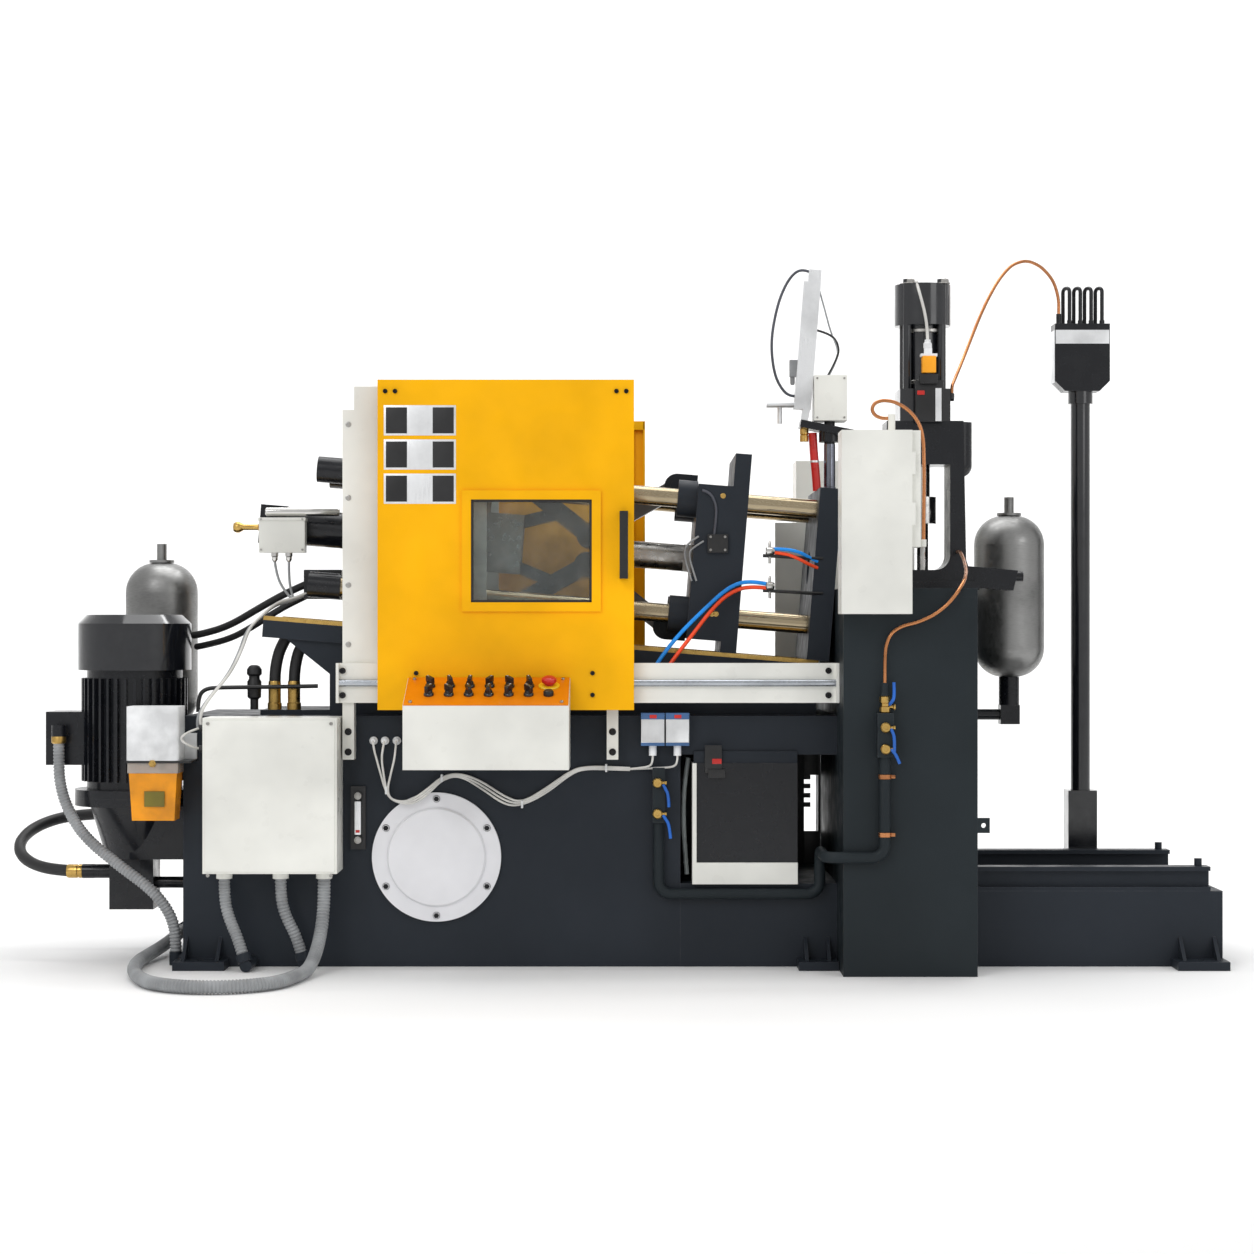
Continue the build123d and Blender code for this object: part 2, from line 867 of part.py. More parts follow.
def pump_unit():
    flange = bar((motor_x, motor_y, flange_z), "Z", flange_thickness, flange_radius)
    bell = Pos(motor_x, motor_y, flange_z - bell_height) * Cone(
        bell_bottom_radius, bell_top_radius, bell_height, align=FROM_END)
    half_width = pump_width / 2
    half = pump_depth / 2
    top = flange_z - bell_height
    pump = block((motor_x - half_width, motor_x + half_width), (motor_y - half, motor_y + half),
                 (top - pump_height, top))
    bracket = block((motor_x, base_left), (motor_y - bracket_half_depth, motor_y + bracket_half_depth),
                    (top, flange_z))
    suction = bar((motor_x, motor_y, top - pump_height / 2), "X", base_left - motor_x, suction_radius)
    port_x = motor_x - half_width - pump_port_length
    port = bar((port_x, motor_y, top - pump_port_radius * 2), "X", pump_port_length, pump_port_radius)
    fitting = sleeve(hose_route, hose_fitting_length, hose_radius + gland_wall)
    return flange + bell + pump + bracket + suction + port + fitting


# Lubricator
def lubricator_head():
    half_width = lubricator_width / 2
    back = -half_base - lubricator_gap
    front = back - lubricator_depth
    shell = block((lubricator_x - half_width, lubricator_x + half_width), (front, back),
                  (lubricator_z, lubricator_z + lubricator_head_height))
    shell = fillet(shell.edges().filter_by(Axis.Z), lubricator_gap)
    hanger = block((lubricator_x, base_left + junction_left_gap / 2), (back, -half_base),
                   (lubricator_z, lubricator_z + lubricator_head_height / 2))
    return shell + hanger


def lubricator_tank():
    top_width = lubricator_width - lubricator_gap
    top_depth = lubricator_depth - lubricator_gap
    y = -half_base - lubricator_gap - lubricator_depth / 2
    top = Plane.XY.offset(lubricator_z) * Pos(lubricator_x, y) * Rectangle(top_width, top_depth)
    share = lubricator_taper_share
    low_plane = Plane.XY.offset(lubricator_z - lubricator_tank_height)
    bottom = low_plane * Pos(lubricator_x, y) * Rectangle(top_width * share, top_depth * share)
    return loft([bottom.face(), top.face()])


# Boxes on the front of the base
def junction_box():
    left = base_left + junction_left_gap
    back = -half_base
    bottom = base_height - junction_height
    box = block((left, left + junction_width), (back - junction_depth, back), (bottom, base_height))
    inset = junction_lip_inset
    lip = block((left + inset, left + junction_width - inset),
                (back - junction_depth - junction_lip, back - junction_depth),
                (bottom + inset, base_height - inset))
    box = box + lip
    for route in (left_box_route, right_box_route, floor_route):
        box = box + sleeve(route, gland_length, floor_conduit_radius + gland_wall)
    return box


def control_console():
    back = -half_base - console_standoff
    front = back - console_depth
    top_front = console_bottom + console_front_height
    outline = [(front, console_bottom), (back, console_bottom), (back, top_front + console_rise),
               (front, top_front)]
    face = Plane.YZ * make_face(Polyline(*outline, close=True))
    body = Pos(console_left, 0, 0) * extrude(face, console_length)
    arm_z = console_bottom + console_arm_height / 2
    for start in (console_left + console_arm_inset,
                  console_left + console_length - console_arm_inset - console_arm_width):
        arm = block((start, start + console_arm_width), (back, -half_base),
                    (arm_z, arm_z + console_arm_height))
        body = body + arm
    return body


def console_plane():
    """The sloping top of the console: x along it, y up the slope."""
    back = -half_base - console_standoff
    front = back - console_depth
    middle_z = console_bottom + console_front_height + console_rise / 2
    slope = degrees(atan2(console_rise, console_depth))
    return Pos(console_left + console_length / 2, (front + back) / 2, middle_z) * Rot(slope, 0, 0)


def console_switches():
    face = console_plane()
    pieces = []
    for row in range(switch_rows):
        for column in range(switch_columns):
            x = (column - (switch_columns - 1) / 2) * switch_pitch
            y = (row - (switch_rows - 1) / 2) * switch_row_pitch
            last = row == switch_rows - 1 and column == switch_columns - 1
            radius = emergency_radius if last else switch_radius
            height = emergency_height if last else switch_height
            pieces.append(face * bar((x, y, 0), "Z", height, radius))
    return Compound(pieces)


def round_cover():
    face = -half_base
    ring = bar((cover_x, face - cover_thickness, cover_z), "Y", cover_thickness, cover_radius)
    dome_start = face - cover_thickness - cover_dome_height
    dome = bar((cover_x, dome_start, cover_z), "Y", cover_dome_height, cover_dome_radius)
    dome = chamfer(dome.edges().sort_by(Axis.Y)[0], cover_dome_height / 2)
    cover = ring + dome
    for index in range(cover_bolt_count):
        angle = radians(90 + index * 360 / cover_bolt_count)
        x = cover_x + cover_bolt_circle * cos(angle)
        z = cover_z + cover_bolt_circle * sin(angle)
        start = face - cover_thickness - cover_bolt_height
        cover = cover + bar((x, start, z), "Y", cover_bolt_height, cover_bolt_radius)
    return cover


def level_gauge():
    face = -half_base
    half_width = gauge_width / 2
    half = gauge_height / 2
    plate = block((gauge_x - half_width, gauge_x + half_width), (face - gauge_thickness, face),
                  (gauge_z - half, gauge_z + half))
    front = face - gauge_thickness
    tube = bar((gauge_x, front, gauge_z - gauge_bolt_pitch / 2), "Z", gauge_bolt_pitch,
               gauge_tube_radius)
    gauge = plate + tube
    for side in (-1, 1):
        z = gauge_z + side * gauge_bolt_pitch / 2
        head = bar((gauge_x, front - gauge_bolt_radius, z), "Y", gauge_bolt_radius, gauge_bolt_radius)
        gauge = gauge + head
    return gauge


def flow_switches():
    face = -half_base
    pieces = []
    for index in range(2):
        x = flow_switch_x + index * flow_switch_pitch
        half = flow_switch_width / 2
        box = block((x - half, x + half), (face - flow_switch_depth, face),
                    (flow_switch_z, flow_switch_z + flow_switch_height))
        gland = bar((x, face - flow_switch_depth / 2, flow_switch_z - flow_gland_height), "Z",
                    flow_gland_height, flow_gland_radius)
        pieces.append(box + gland)
    return Compound(pieces)


# Guard rails, fixed guards and the sliding door
def front_track():
    """The front guard rail with its bright bar and the posts that hold it."""
    face = -rail_y
    right = base_right
    plate = block((track_left, right), (face - track_thickness, face),
                  (track_bottom, track_top))
    bar_z = track_bottom + track_height / 2
    bar_y = face - track_thickness - track_bar_standoff
    guide = bar((track_left + track_rib, bar_y, bar_z), "X", right - track_left - 2 * track_rib,
                track_bar_radius)
    end = block((track_left, track_left + track_rib),
                (bar_y - track_bar_radius, face - track_thickness),
                (track_bottom, track_top))
    track = plate + guide + end + Pos(right - track_left - track_rib, 0, 0) * end
    for left in (post_left, post_middle):
        post = block((left, left + post_width), (face, -half_base),
                     (post_bottom, track_top))
        track = track + post
    return track


def guard_rails():
    front = front_track()
    return Compound([front, mirror(front, about=Plane.XZ)])


def front_fixed_guard():
    """The cream sheet guard beside the dies, with folded edges."""
    bottom = track_top
    left = post_left
    right = left + fixed_guard_length
    face = -rail_y
    sheet = fixed_guard_sheet
    panel = block((left, right), (face, face + sheet), (bottom, fixed_guard_top))
    notch = block((left, left + post_width), (face, face + sheet),
                  (fixed_guard_top - fixed_guard_notch, fixed_guard_top))
    panel = panel - notch
    left_edge = block((left, left + sheet), (face, face + fixed_guard_edge),
                      (bottom, fixed_guard_top - fixed_guard_notch))
    right_edge = block((right - sheet, right), (face, face + fixed_guard_edge),
                       (bottom, fixed_guard_top))
    top_edge = block((left + post_width, right), (face, face + fixed_guard_edge),
                     (fixed_guard_top - sheet, fixed_guard_top))
    return panel + left_edge + right_edge + top_edge


def end_guard():
    """A narrow sheet on the rear rail beside the fixed platen."""
    bottom = track_top
    right = base_right - end_guard_gap
    left = right - end_guard_width
    sheet = block((left, right), (rail_y, rail_y + fixed_guard_sheet), (bottom, end_guard_top))
    fold = block((left, left + fixed_guard_sheet), (rail_y, rail_y + track_thickness),
                 (bottom, end_guard_top))
    return sheet + fold


def fixed_guards():
    front = front_fixed_guard()
    return Compound([front, mirror(front, about=Plane.XZ), end_guard()])


def door_back_y():
    return -(rail_y + track_thickness + track_bar_standoff + track_bar_radius + door_gap)


def door_pan():
    """A folded sheet pan, open to the back, as both guards are made."""
    back = door_back_y()
    front = back - door_depth
    right = door_right
    top = door_bottom + door_height
    sheet = door_sheet
    outer = block((door_left, right), (front, back), (door_bottom, top))
    inner = block((door_left + sheet, right - sheet), (front + sheet, back),
                  (door_bottom + sheet, top - sheet))
    return outer - inner


def carriage_pair():
    """Two blocks inside the pan that ride on the bright bar."""
    front = door_back_y() - door_depth + door_sheet
    bar_y = -(rail_y + track_thickness + track_bar_standoff)
    bar_z = track_bottom + track_height / 2
    back = -(rail_y + track_thickness + door_gap)
    groove = track_bar_radius + carriage_clearance
    half = carriage_height / 2
    blocks = []
    for start in (door_left + carriage_length, door_right - 2 * carriage_length):
        body = block((start, start + carriage_length), (front, back), (bar_z - half, bar_z + half))
        slot = bar((start, bar_y, bar_z), "X", carriage_length, groove)
        mouth = block((start, start + carriage_length), (bar_y, back), (bar_z - groove, bar_z + groove))
        blocks.append(body - slot - mouth)
    return blocks


def guard_door():
    front = door_back_y() - door_depth
    pan = door_pan()
    right = window_left + window_width
    top = window_bottom + window_height
    rim = window_frame
    border = block((window_left - rim, right + rim), (front - window_frame_rise, front),
                   (window_bottom - rim, top + rim))
    opening = block((window_left, right), (front - window_frame_rise, front + door_sheet),
                    (window_bottom, top))
    door = pan + border - opening
    for piece in carriage_pair():
        door = door + piece
    return door


def door_window():
    inside = door_back_y() - door_depth + door_sheet
    lap = pane_lap
    return block((window_left - lap, window_left + window_width + lap),
                 (inside, inside + pane_thickness),
                 (window_bottom - lap, window_bottom + window_height + lap))


def door_handle():
    front = door_back_y() - door_depth
    half = handle_width / 2
    top = handle_bottom + handle_height
    grip = block((handle_x - half, handle_x + half),
                 (front - handle_standoff - handle_bar, front - handle_standoff),
                 (handle_bottom, top))
    low_leg = block((handle_x - half, handle_x + half), (front - handle_standoff, front),
                    (handle_bottom, handle_bottom + handle_bar))
    high_leg = Pos(0, 0, handle_height - handle_bar) * low_leg
    return grip + low_leg + high_leg


def rear_guard():
    """The rear guard repeats the door's pan, screwed to the rear rail on two blocks."""
    pan = mirror(door_pan(), about=Plane.XZ)
    inside = -door_back_y() + door_depth - door_sheet
    bar_z = track_bottom + track_height * 3 / 4
    seat = rail_y + track_thickness
    for start in (door_left + carriage_length, door_right - 2 * carriage_length):
        spacer = block((start, start + carriage_length), (seat, inside),
                       (bar_z + track_bar_radius / 2, track_top))
        pan = pan + spacer
    return pan


# Clamp unit
def bar_holes(u_low, length, radius):
    """The four tie bar holes of a platen."""
    holes = []
    for v in (-half_pitch, half_pitch):
        for w in (-half_pitch, half_pitch):
            holes.append(bar((u_low, v, w), "X", length, radius))
    return holes


def drilled(plate, holes):
    for hole in holes:
        plate = plate - hole
    return plate


def fixed_platen():
    half = platen_half_width
    plate = block((0, fixed_platen_thickness), (-half, half), (platen_bottom, fixed_platen_top))
    holes = bar_holes(0, fixed_platen_thickness, bar_radius + seat_clearance)
    sprue = bar((0, 0, 0), "X", fixed_platen_thickness, sprue_radius)
    return clamp_frame * drilled(plate, holes + [sprue])


def moving_platen():
    half = moving_plate_half_width
    bottom = platen_bottom + slide_gap
    plate = block((moving_plate_back, moving_face), (-half, half), (bottom, moving_plate_top))
    body = block((moving_back, moving_plate_back), (-half, half),
                 (bottom + moving_body_lift, moving_body_top))
    piece = plate + body
    boss_start = moving_back - boss_length
    for v in (-half_pitch, half_pitch):
        for w in (-half_pitch, half_pitch):
            piece = piece + bar((boss_start, v, w), "X", boss_length, boss_radius)
    length = moving_face - boss_start
    piece = drilled(piece, bar_holes(boss_start, length, bar_radius + bar_clearance))
    for side in (-1, 1):
        piece = piece + both_sides(moving_ear(side * toggle_pivot_height))
    return clamp_frame * piece


def moving_ear(w):
    """One cheek on the back of the moving platen, beside the front link."""
    inner = rear_link_inner
    cheek = eye((front_pivot, w), link_eye_radius, inner, moving_ear_outer)
    root = block((front_pivot, moving_back), (inner, moving_ear_outer),
                 (w - link_eye_radius, w + link_eye_radius))
    pin_head = eye((front_pivot, w), toggle_pin_radius, moving_ear_outer,
                   moving_ear_outer + pin_head_height)
    return cheek + root + pin_head


def ejector_cylinder():
    body = bar((moving_back - ejector_length, 0, 0), "X", ejector_length, ejector_radius)
    flange = block((moving_back - flange_thickness, moving_back), (-ejector_radius, ejector_radius),
                   (-ejector_radius, ejector_radius))
    return clamp_frame * (body + flange)


def rear_platen():
    half = platen_half_width
    plate = block((rear_back, rear_face), (-half, half), (platen_bottom, rear_platen_top))
    holes = bar_holes(rear_back, rear_platen_thickness, bar_radius + seat_clearance)
    rod_hole = bar((rear_back, 0, 0), "X", rear_platen_thickness, rod_radius + rod_clearance)
    pieces = [drilled(plate, holes + [rod_hole])]
    for side in (-1, 1):
        ear = rear_ear(side * toggle_pivot_height)
        pin = eye((rear_pivot, side * toggle_pivot_height), toggle_pin_radius, -rear_ear_inner,
                  rear_ear_inner)
        pieces += [ear, mirror(ear, about=Plane.XZ), pin]
    return Compound([clamp_frame * piece for piece in pieces])


def rear_ear(w):
    """One cheek on the rear platen, outside the rear link."""
    cheek = eye((rear_pivot, w), link_eye_radius, rear_ear_inner, rear_ear_outer)
    root = block((rear_face, rear_pivot), (rear_ear_inner, rear_ear_outer),
                 (w - link_eye_radius, w + link_eye_radius))
    return cheek + root


def tie_bars():
    start = rear_back - bar_tail
    length = fixed_platen_thickness - start
    bars = [clamp_frame * bar((start, v, w), "X", length, bar_radius)
            for v in (-half_pitch, half_pitch) for w in (-half_pitch, half_pitch)]
    return Compound(bars)


def tie_bar_nuts():
    """Caps on the free ends of all four bars, nuts on the die end of the upper two."""
    tail = rear_back - bar_tail
    pieces = []
    for v in (-half_pitch, half_pitch):
        for w in (-half_pitch, half_pitch):
            cap = bar((tail - bar_cap_end, v, w), "X", bar_cap_length, bar_cap_radius)
            cap = cap - bar((tail, v, w), "X", bar_cap_length, bar_radius + seat_clearance)
            pieces.append(clamp_frame * cap)
        nut = bar((fixed_platen_thickness, v, half_pitch), "X", bar_nut_length, bar_nut_radius)
        pieces.append(clamp_frame * nut)
    return Compound(pieces)


# Toggle: two equal links a side, folded inwards, and a crosshead between them
def rear_link(side):
    """A double link on the rear platen that carries the knee pin."""
    start = (rear_pivot, side * toggle_pivot_height)
    knee = (knee_u, side * knee_w)
    inner, outer = rear_link_inner, rear_link_outer
    half = hull_bar(start, knee, link_half_height, inner, outer)
    half = half + eye(start, link_eye_radius, inner, outer) + eye(knee, link_eye_radius, inner, outer)
    link = both_sides(half)
    link = link - eye(start, toggle_pin_radius + pin_clearance, -outer, outer)
    return clamp_frame * (link + eye(knee, toggle_pin_radius, -outer, outer))


def front_link(side):
    """A single link from the knee to the moving platen."""
    knee = (knee_u, side * knee_w)
    end = (front_pivot, side * toggle_pivot_height)
    half = front_link_half_width
    link = hull_bar(knee, end, link_half_height, -half, half)
    link = link + eye(knee, link_eye_radius, -half, half) + eye(end, link_eye_radius, -half, half)
    return clamp_frame * (link - eye(knee, toggle_pin_radius + pin_clearance, -half, half))


def cross_points():
    """Where the cross link meets the crosshead and the rear link when open."""
    angle = radians(open_angle)
    end_u = rear_pivot + cross_pivot * cos(angle)
    end_w = toggle_pivot_height - cross_pivot * sin(angle)
    start_u = end_u - sqrt(cross_length ** 2 - (end_w - cross_pin_height) ** 2)
    return start_u, end_u, end_w


cross_u, cross_end_u, cross_end_w = cross_points()


def cross_link(side):
    start = (cross_u, side * cross_pin_height)
    end = (cross_end_u, side * cross_end_w)
    half = cross_half_width
    link = hull_bar(start, end, cross_half_height, -half, half)
    link = link + eye(start, cross_eye_radius, -half, half) + eye(end, cross_eye_radius, -half, half)
    return clamp_frame * (link - eye(start, cross_pin_radius + pin_clearance, -half, half))


def crosshead():
    back = cross_u - crosshead_back
    web = block((back, cross_u - crosshead_web), (-crosshead_cheek_outer, crosshead_cheek_outer),
                (-crosshead_half_height, crosshead_half_height))
    cheek = block((cross_u - crosshead_web, cross_u + crosshead_front),
                  (crosshead_cheek_inner, crosshead_cheek_outer),
                  (-crosshead_half_height, crosshead_half_height))
    head = web + both_sides(cheek)
    for side in (-1, 1):
        head = head + eye((cross_u, side * cross_pin_height), cross_pin_radius,
                          -crosshead_cheek_outer, crosshead_cheek_outer)
    piston_u = rear_back - barrel_length + piston_back
    rod = bar((piston_u, 0, 0), "X", back - piston_u, rod_radius)
    piston = bar((piston_u, 0, 0), "X", piston_length, bore_radius - piston_clearance)
    return clamp_frame * (head + rod + piston)


def clamp_cylinder():
    back = rear_back - barrel_length
    flange_half = barrel_flange_half
    barrel = bar((back, 0, 0), "X", barrel_length, barrel_radius)
    flange = block((rear_back - barrel_flange_thickness, rear_back), (-flange_half, flange_half),
                   (-flange_half, flange_half))
    cap = block((back - end_cap_thickness, back), (-end_cap_half, end_cap_half),
                (-end_cap_half, end_cap_half))
    gland = block((back, back + end_cap_thickness), (-end_cap_half, end_cap_half),
                  (-end_cap_half, end_cap_half))
    bore = bar((back, 0, 0), "X", barrel_length - barrel_flange_thickness, bore_radius)
    rod_hole = bar((back, 0, 0), "X", barrel_length, rod_radius + rod_clearance)
    return clamp_frame * (barrel + flange + cap + gland - bore - rod_hole)


# Bed
def bed_under_z(x):
    """Height of the underside of the bed beams at a place along X."""
    drop = bed_drop + strip_thickness + bed_beam_height
    return die_face_z - (x - die_face_x) * tan(tilt) - drop / cos(tilt)


def bed_span():
    """The bed's ends along the clamp frame."""
    low = (bed_left - die_face_x) / cos(tilt)
    high = (base_right - bed_right_gap - die_face_x) / cos(tilt) - bed_drop * tan(tilt)
    return low, high


def clamp_bed():
    low, high = bed_span()
    half = bed_beam_width / 2
    top = -bed_drop - strip_thickness
    beam = clamp_frame * block((low, high), (bed_track - half, bed_track + half),
                               (top - bed_beam_height, top))
    right = base_right - bed_right_gap - bed_beam_height
    outline = [(bed_plate_left, base_height), (right, base_height), (right, bed_under_z(right)),
               (bed_nose_left, bed_under_z(bed_nose_left)),
               (bed_plate_left, base_height + bed_cross_height)]
    web = plate_xz(outline, bed_track - bed_plate_thickness / 2, bed_plate_thickness)
    side = beam + web
    inner = bed_track - bed_plate_thickness / 2
    near = bed_plate_left + bed_cross_inset
    cross = block((near, near + bed_cross_thickness), (-inner, inner),
                  (base_height, base_height + bed_cross_height))
    far = Pos(right - near - bed_cross_thickness, 0, 0) * cross
    return both_sides(side) + cross + far


def bed_wear_strips():
    low, high = bed_span()
    half = bed_beam_width / 2
    top = -bed_drop
    strips = [clamp_frame * block((low, high), (side * bed_track - half, side * bed_track + half),
                                  (top - strip_thickness, top)) for side in (-1, 1)]
    return Compound(strips)


# Shot unit
def shot_frame():
    half = shot_frame_width / 2
    half_y = shot_frame_depth / 2
    flare_foot = deck_top + shot_flange_thickness
    flare_top = flare_foot + shot_flare_height
    low_half = shot_flange_width / 2 - shot_flange_thickness / 2
    top_half = half - shot_frame_draft
    right = [(low_half, deck_top), (low_half, flare_foot), (half, flare_top), (top_half, shot_top)]
    left = [(-x, z) for x, z in right[::-1]]
    outline = [(shot_x + x, z) for x, z in right + left]
    yoke = plate_xz(outline, -half_y, shot_frame_depth)
    shoulders = yoke.edges().filter_by(Axis.Y).filter_by_position(Axis.Z, flare_top - 1, flare_top + 1)
    yoke = fillet(shoulders, shot_flare_radius)
    flange = block((shot_x - shot_flange_width / 2, shot_x + shot_flange_width / 2),
                   (-shot_flange_depth / 2, shot_flange_depth / 2),
                   (deck_top, deck_top + shot_flange_thickness))
    sill = deck_top + shot_window_sill
    window = block((shot_x - shot_window_width / 2, shot_x + shot_window_width / 2),
                   (-half_y, half_y), (sill, sill + shot_window_height))
    window = fillet(window.edges().filter_by(Axis.Y).group_by(Axis.Z)[0], shot_window_radius)
    well = bar((shot_x, 0, deck_top), "Z", shot_window_sill, shot_well_radius)
    rod_hole = bar((shot_x, 0, sill), "Z", shot_top - sill, plunger_rod_radius + pin_clearance)
    body = yoke + flange - window - well - rod_hole
    stud = sleeve(lower_copper_route, frame_stud_length, copper_nut_radius)
    return body + shot_boss() + stud + advance_arm()


def shot_boss():
    """The domed rib on the right of the frame's head."""
    half_top = shot_frame_width / 2 - shot_frame_draft
    foot_z = shot_top - shot_boss_drop
    stem = bar((shot_x + half_top, 0, foot_z), "Z", shot_boss_drop, shot_boss_radius)
    return stem + Pos(shot_x + half_top, 0, foot_z) * Sphere(shot_boss_radius)


def advance_arm():
    """The short arm beside the frame that draws the shot unit up to the die."""
    start = shot_x + shot_flange_width / 2
    low = deck_top + arm_bottom_gap
    outline = [(shot_x + shot_frame_width / 2, low), (start + arm_length - arm_taper, low - arm_bottom_gap),
               (start + arm_length, low + arm_height - arm_taper),
               (shot_x + shot_frame_width / 2, low + arm_height)]
    arm = plate_xz(outline, -arm_depth / 2, arm_depth)
    nose_start = start + arm_length - arm_taper
    nose = bar((nose_start, 0, low + arm_height / 2), "X", arm_nose_length, arm_nose_radius)
    return arm + nose


def shot_cylinder():
    half = shot_base_width / 2
    foot_plate = block((shot_x - half, shot_x + half), (-half, half),
                       (shot_top, shot_top + shot_base_height))
    barrel_z = shot_top + shot_base_height
    barrel = bar((shot_x, 0, barrel_z), "Z", shot_barrel_height - shot_base_height,
                 shot_barrel_radius)
    cap_z = shot_top + shot_barrel_height
    cap = bar((shot_x, 0, cap_z), "Z", shot_cap_height, shot_cap_radius)
    body = foot_plate + barrel + cap
    for index in range(shot_rod_count):
        angle = radians(45 + index * 360 / shot_rod_count)
        x = shot_x + shot_rod_circle * cos(angle)
        y = shot_rod_circle * sin(angle)
        body = body + bar((x, y, barrel_z - shot_base_height / 2), "Z",
                          shot_barrel_height - shot_base_height / 2 + shot_cap_height + shot_rod_radius,
                          shot_rod_radius)
    hole = bar((shot_x, 0, shot_top), "Z", shot_base_height + shot_stroke,
               plunger_rod_radius + pin_clearance)
    back = upper_copper_route[::-1]
    nut = sleeve(back, copper_nut_length, copper_nut_radius)
    x, y, z = back[0]
    stud = bar((shot_x + half, y, z - copper_nut_length / 2), "X", x - shot_x - half, copper_nut_radius)
    return body - hole + nut + stud


def shot_rod():
    coupling_top = deck_top + shot_window_sill + shot_window_height - coupling_drop
    rod = bar((shot_x, 0, coupling_top), "Z", shot_top + shot_base_height + shot_stroke / 2 - coupling_top,
              plunger_rod_radius)
    coupling = bar((shot_x, 0, coupling_top - coupling_height), "Z", coupling_height, coupling_radius)
    plunger = bar((shot_x, 0, plunger_bottom), "Z", coupling_top - coupling_height - plunger_bottom,
                  plunger_radius)
    return rod + coupling + plunger


# Cabinet on the pillar
def shot_cabinet():
    back = -half_depth
    front = back - cabinet_depth
    right = cabinet_left + cabinet_width
    top = cabinet_bottom + cabinet_height
    box = block((cabinet_left, right), (front, back), (cabinet_bottom, top))
    strip = block((right, right + cabinet_strip_width), (front, back), (top - cabinet_strip_height, top))
    x, y, z = loop_copper_route[0]
    stud = bar((x + copper_stud_radius, y, top), "Z", copper_stud_height, copper_stud_radius)
    nut = sleeve(loop_copper_route, copper_stud_radius, copper_nut_radius)
    back = loop_copper_route[::-1]
    x, y, z = back[0]
    low_stud = bar((right + cabinet_strip_width, y, z - copper_nut_length / 2), "X",
                   x - right - cabinet_strip_width, copper_nut_radius / 2)
    return box + strip + stud + nut + low_stud + sleeve(back, copper_nut_length, copper_nut_radius)


def cabinet_hinge_x():
    return cabinet_left + cabinet_width + hinge_radius


def cabinet_door():
    back = -half_depth - cabinet_depth - cabinet_door_gap
    front = back - cabinet_door_thickness
    right = cabinet_left + cabinet_width
    top = cabinet_bottom + cabinet_height
    door = block((cabinet_left, right), (front, back), (cabinet_bottom, top))
    knuckle_z = top - hinge_inset - hinge_length
    for z in (knuckle_z, top - cabinet_strip_height + hinge_inset):
        knuckle = bar((cabinet_hinge_x(), front + hinge_radius, z), "Z", hinge_length, hinge_radius)
        leaf = block((right - hinge_radius, cabinet_hinge_x()), (front, front + 2 * hinge_radius),
                     (z, z + hinge_length))
        door = door + knuckle + leaf
    return door


def rear_cabinet():
    return block((rear_cabinet_left, rear_cabinet_left + rear_cabinet_width),
                 (half_depth, half_depth + rear_cabinet_depth), (rear_cabinet_bottom, rear_cabinet_top))


# Sprayer
arm_frame = Pos(spray_post_x, spray_post_y, spray_arm_z) * Rot(0, spray_arm_tilt, 0)


def spray_post():
    foot_z = die_face_z - (spray_post_x - die_face_x) * tan(tilt) + fixed_platen_top / cos(tilt)
    sink = fixed_platen_thickness * tan(tilt)
    post = bar((spray_post_x, spray_post_y, foot_z - sink), "Z", spray_post_top - foot_z + sink,
               spray_post_radius)
    platen = clamp_frame * block((0, fixed_platen_thickness), (-platen_half_width, platen_half_width),
                                 (platen_bottom, fixed_platen_top))
    post = post - platen
    half = spray_arm_length / 2
    arm = arm_frame * block((-half, half), (-spray_arm_depth / 2, spray_arm_depth / 2),
                            (-spray_arm_thickness / 2, spray_arm_thickness / 2))
    neck = bar((spray_post_x, spray_post_y, spray_post_top), "Z", spray_arm_z - spray_post_top,
               2 * spray_post_radius)
    box_half = spray_box_width / 2
    riser = bar((spray_post_x, spray_post_y, spray_arm_z), "Z", spray_box_z - spray_arm_z,
                spray_post_radius)
    box = block((spray_post_x - box_half, spray_post_x + box_half),
                (spray_post_y - spray_box_depth / 2, spray_post_y + spray_box_depth / 2),
                (spray_box_z, spray_box_z + spray_box_height))
    return post + arm + neck + riser + box


def spray_cylinder():
    side = spray_profile_width / 2
    profile = block((-side, side), (-side, side), (0, spray_profile_length))
    cap = block((-side / 2, side), (-side / 2, side / 2),
                (spray_profile_length, spray_profile_length + spray_cap_height))
    column = Pos(spray_profile_x, spray_post_y, spray_profile_z) * Rot(0, clamp_tilt, 0) * (profile + cap)
    arm_half = spray_arm_length / 2
    arm_top = spray_arm_thickness / 2
    foot_block = arm_frame * block((-arm_half, spray_foot_length - arm_half), (-side, side),
                                   (arm_top, arm_top + spray_foot_height))
    piece = column + foot_block
    finger_z = spray_profile_z + 2 * finger_radius
    finger_x = spray_profile_x - side - finger_length
    for shift in (-finger_pitch / 2, finger_pitch / 2):
        piece = piece + bar((finger_x, spray_post_y + shift, finger_z), "X", finger_length + side,
                            finger_radius)
    nozzle = bar((finger_x + finger_length / 2, spray_post_y + finger_pitch / 2, finger_z - nozzle_drop),
                 "Z", nozzle_drop, finger_radius)
    return piece + nozzle


# Chute under the dies
def discharge_chute():
    left = chute_left
    right = left + chute_width
    back = chute_inner_depth - half_base
    front = -half_base - chute_reach
    sheet = chute_thickness
    tray = block((left, right), (front, back), (bay_floor, bay_floor + chute_tray_height))
    left_side = block((left, left + 2 * sheet), (front, back), (bay_floor, chute_top))
    behind = front + curtain_setback + curtain_thickness
    right_side = block((right - sheet, right), (behind, back), (bay_floor, chute_top))
    return tray + left_side + right_side


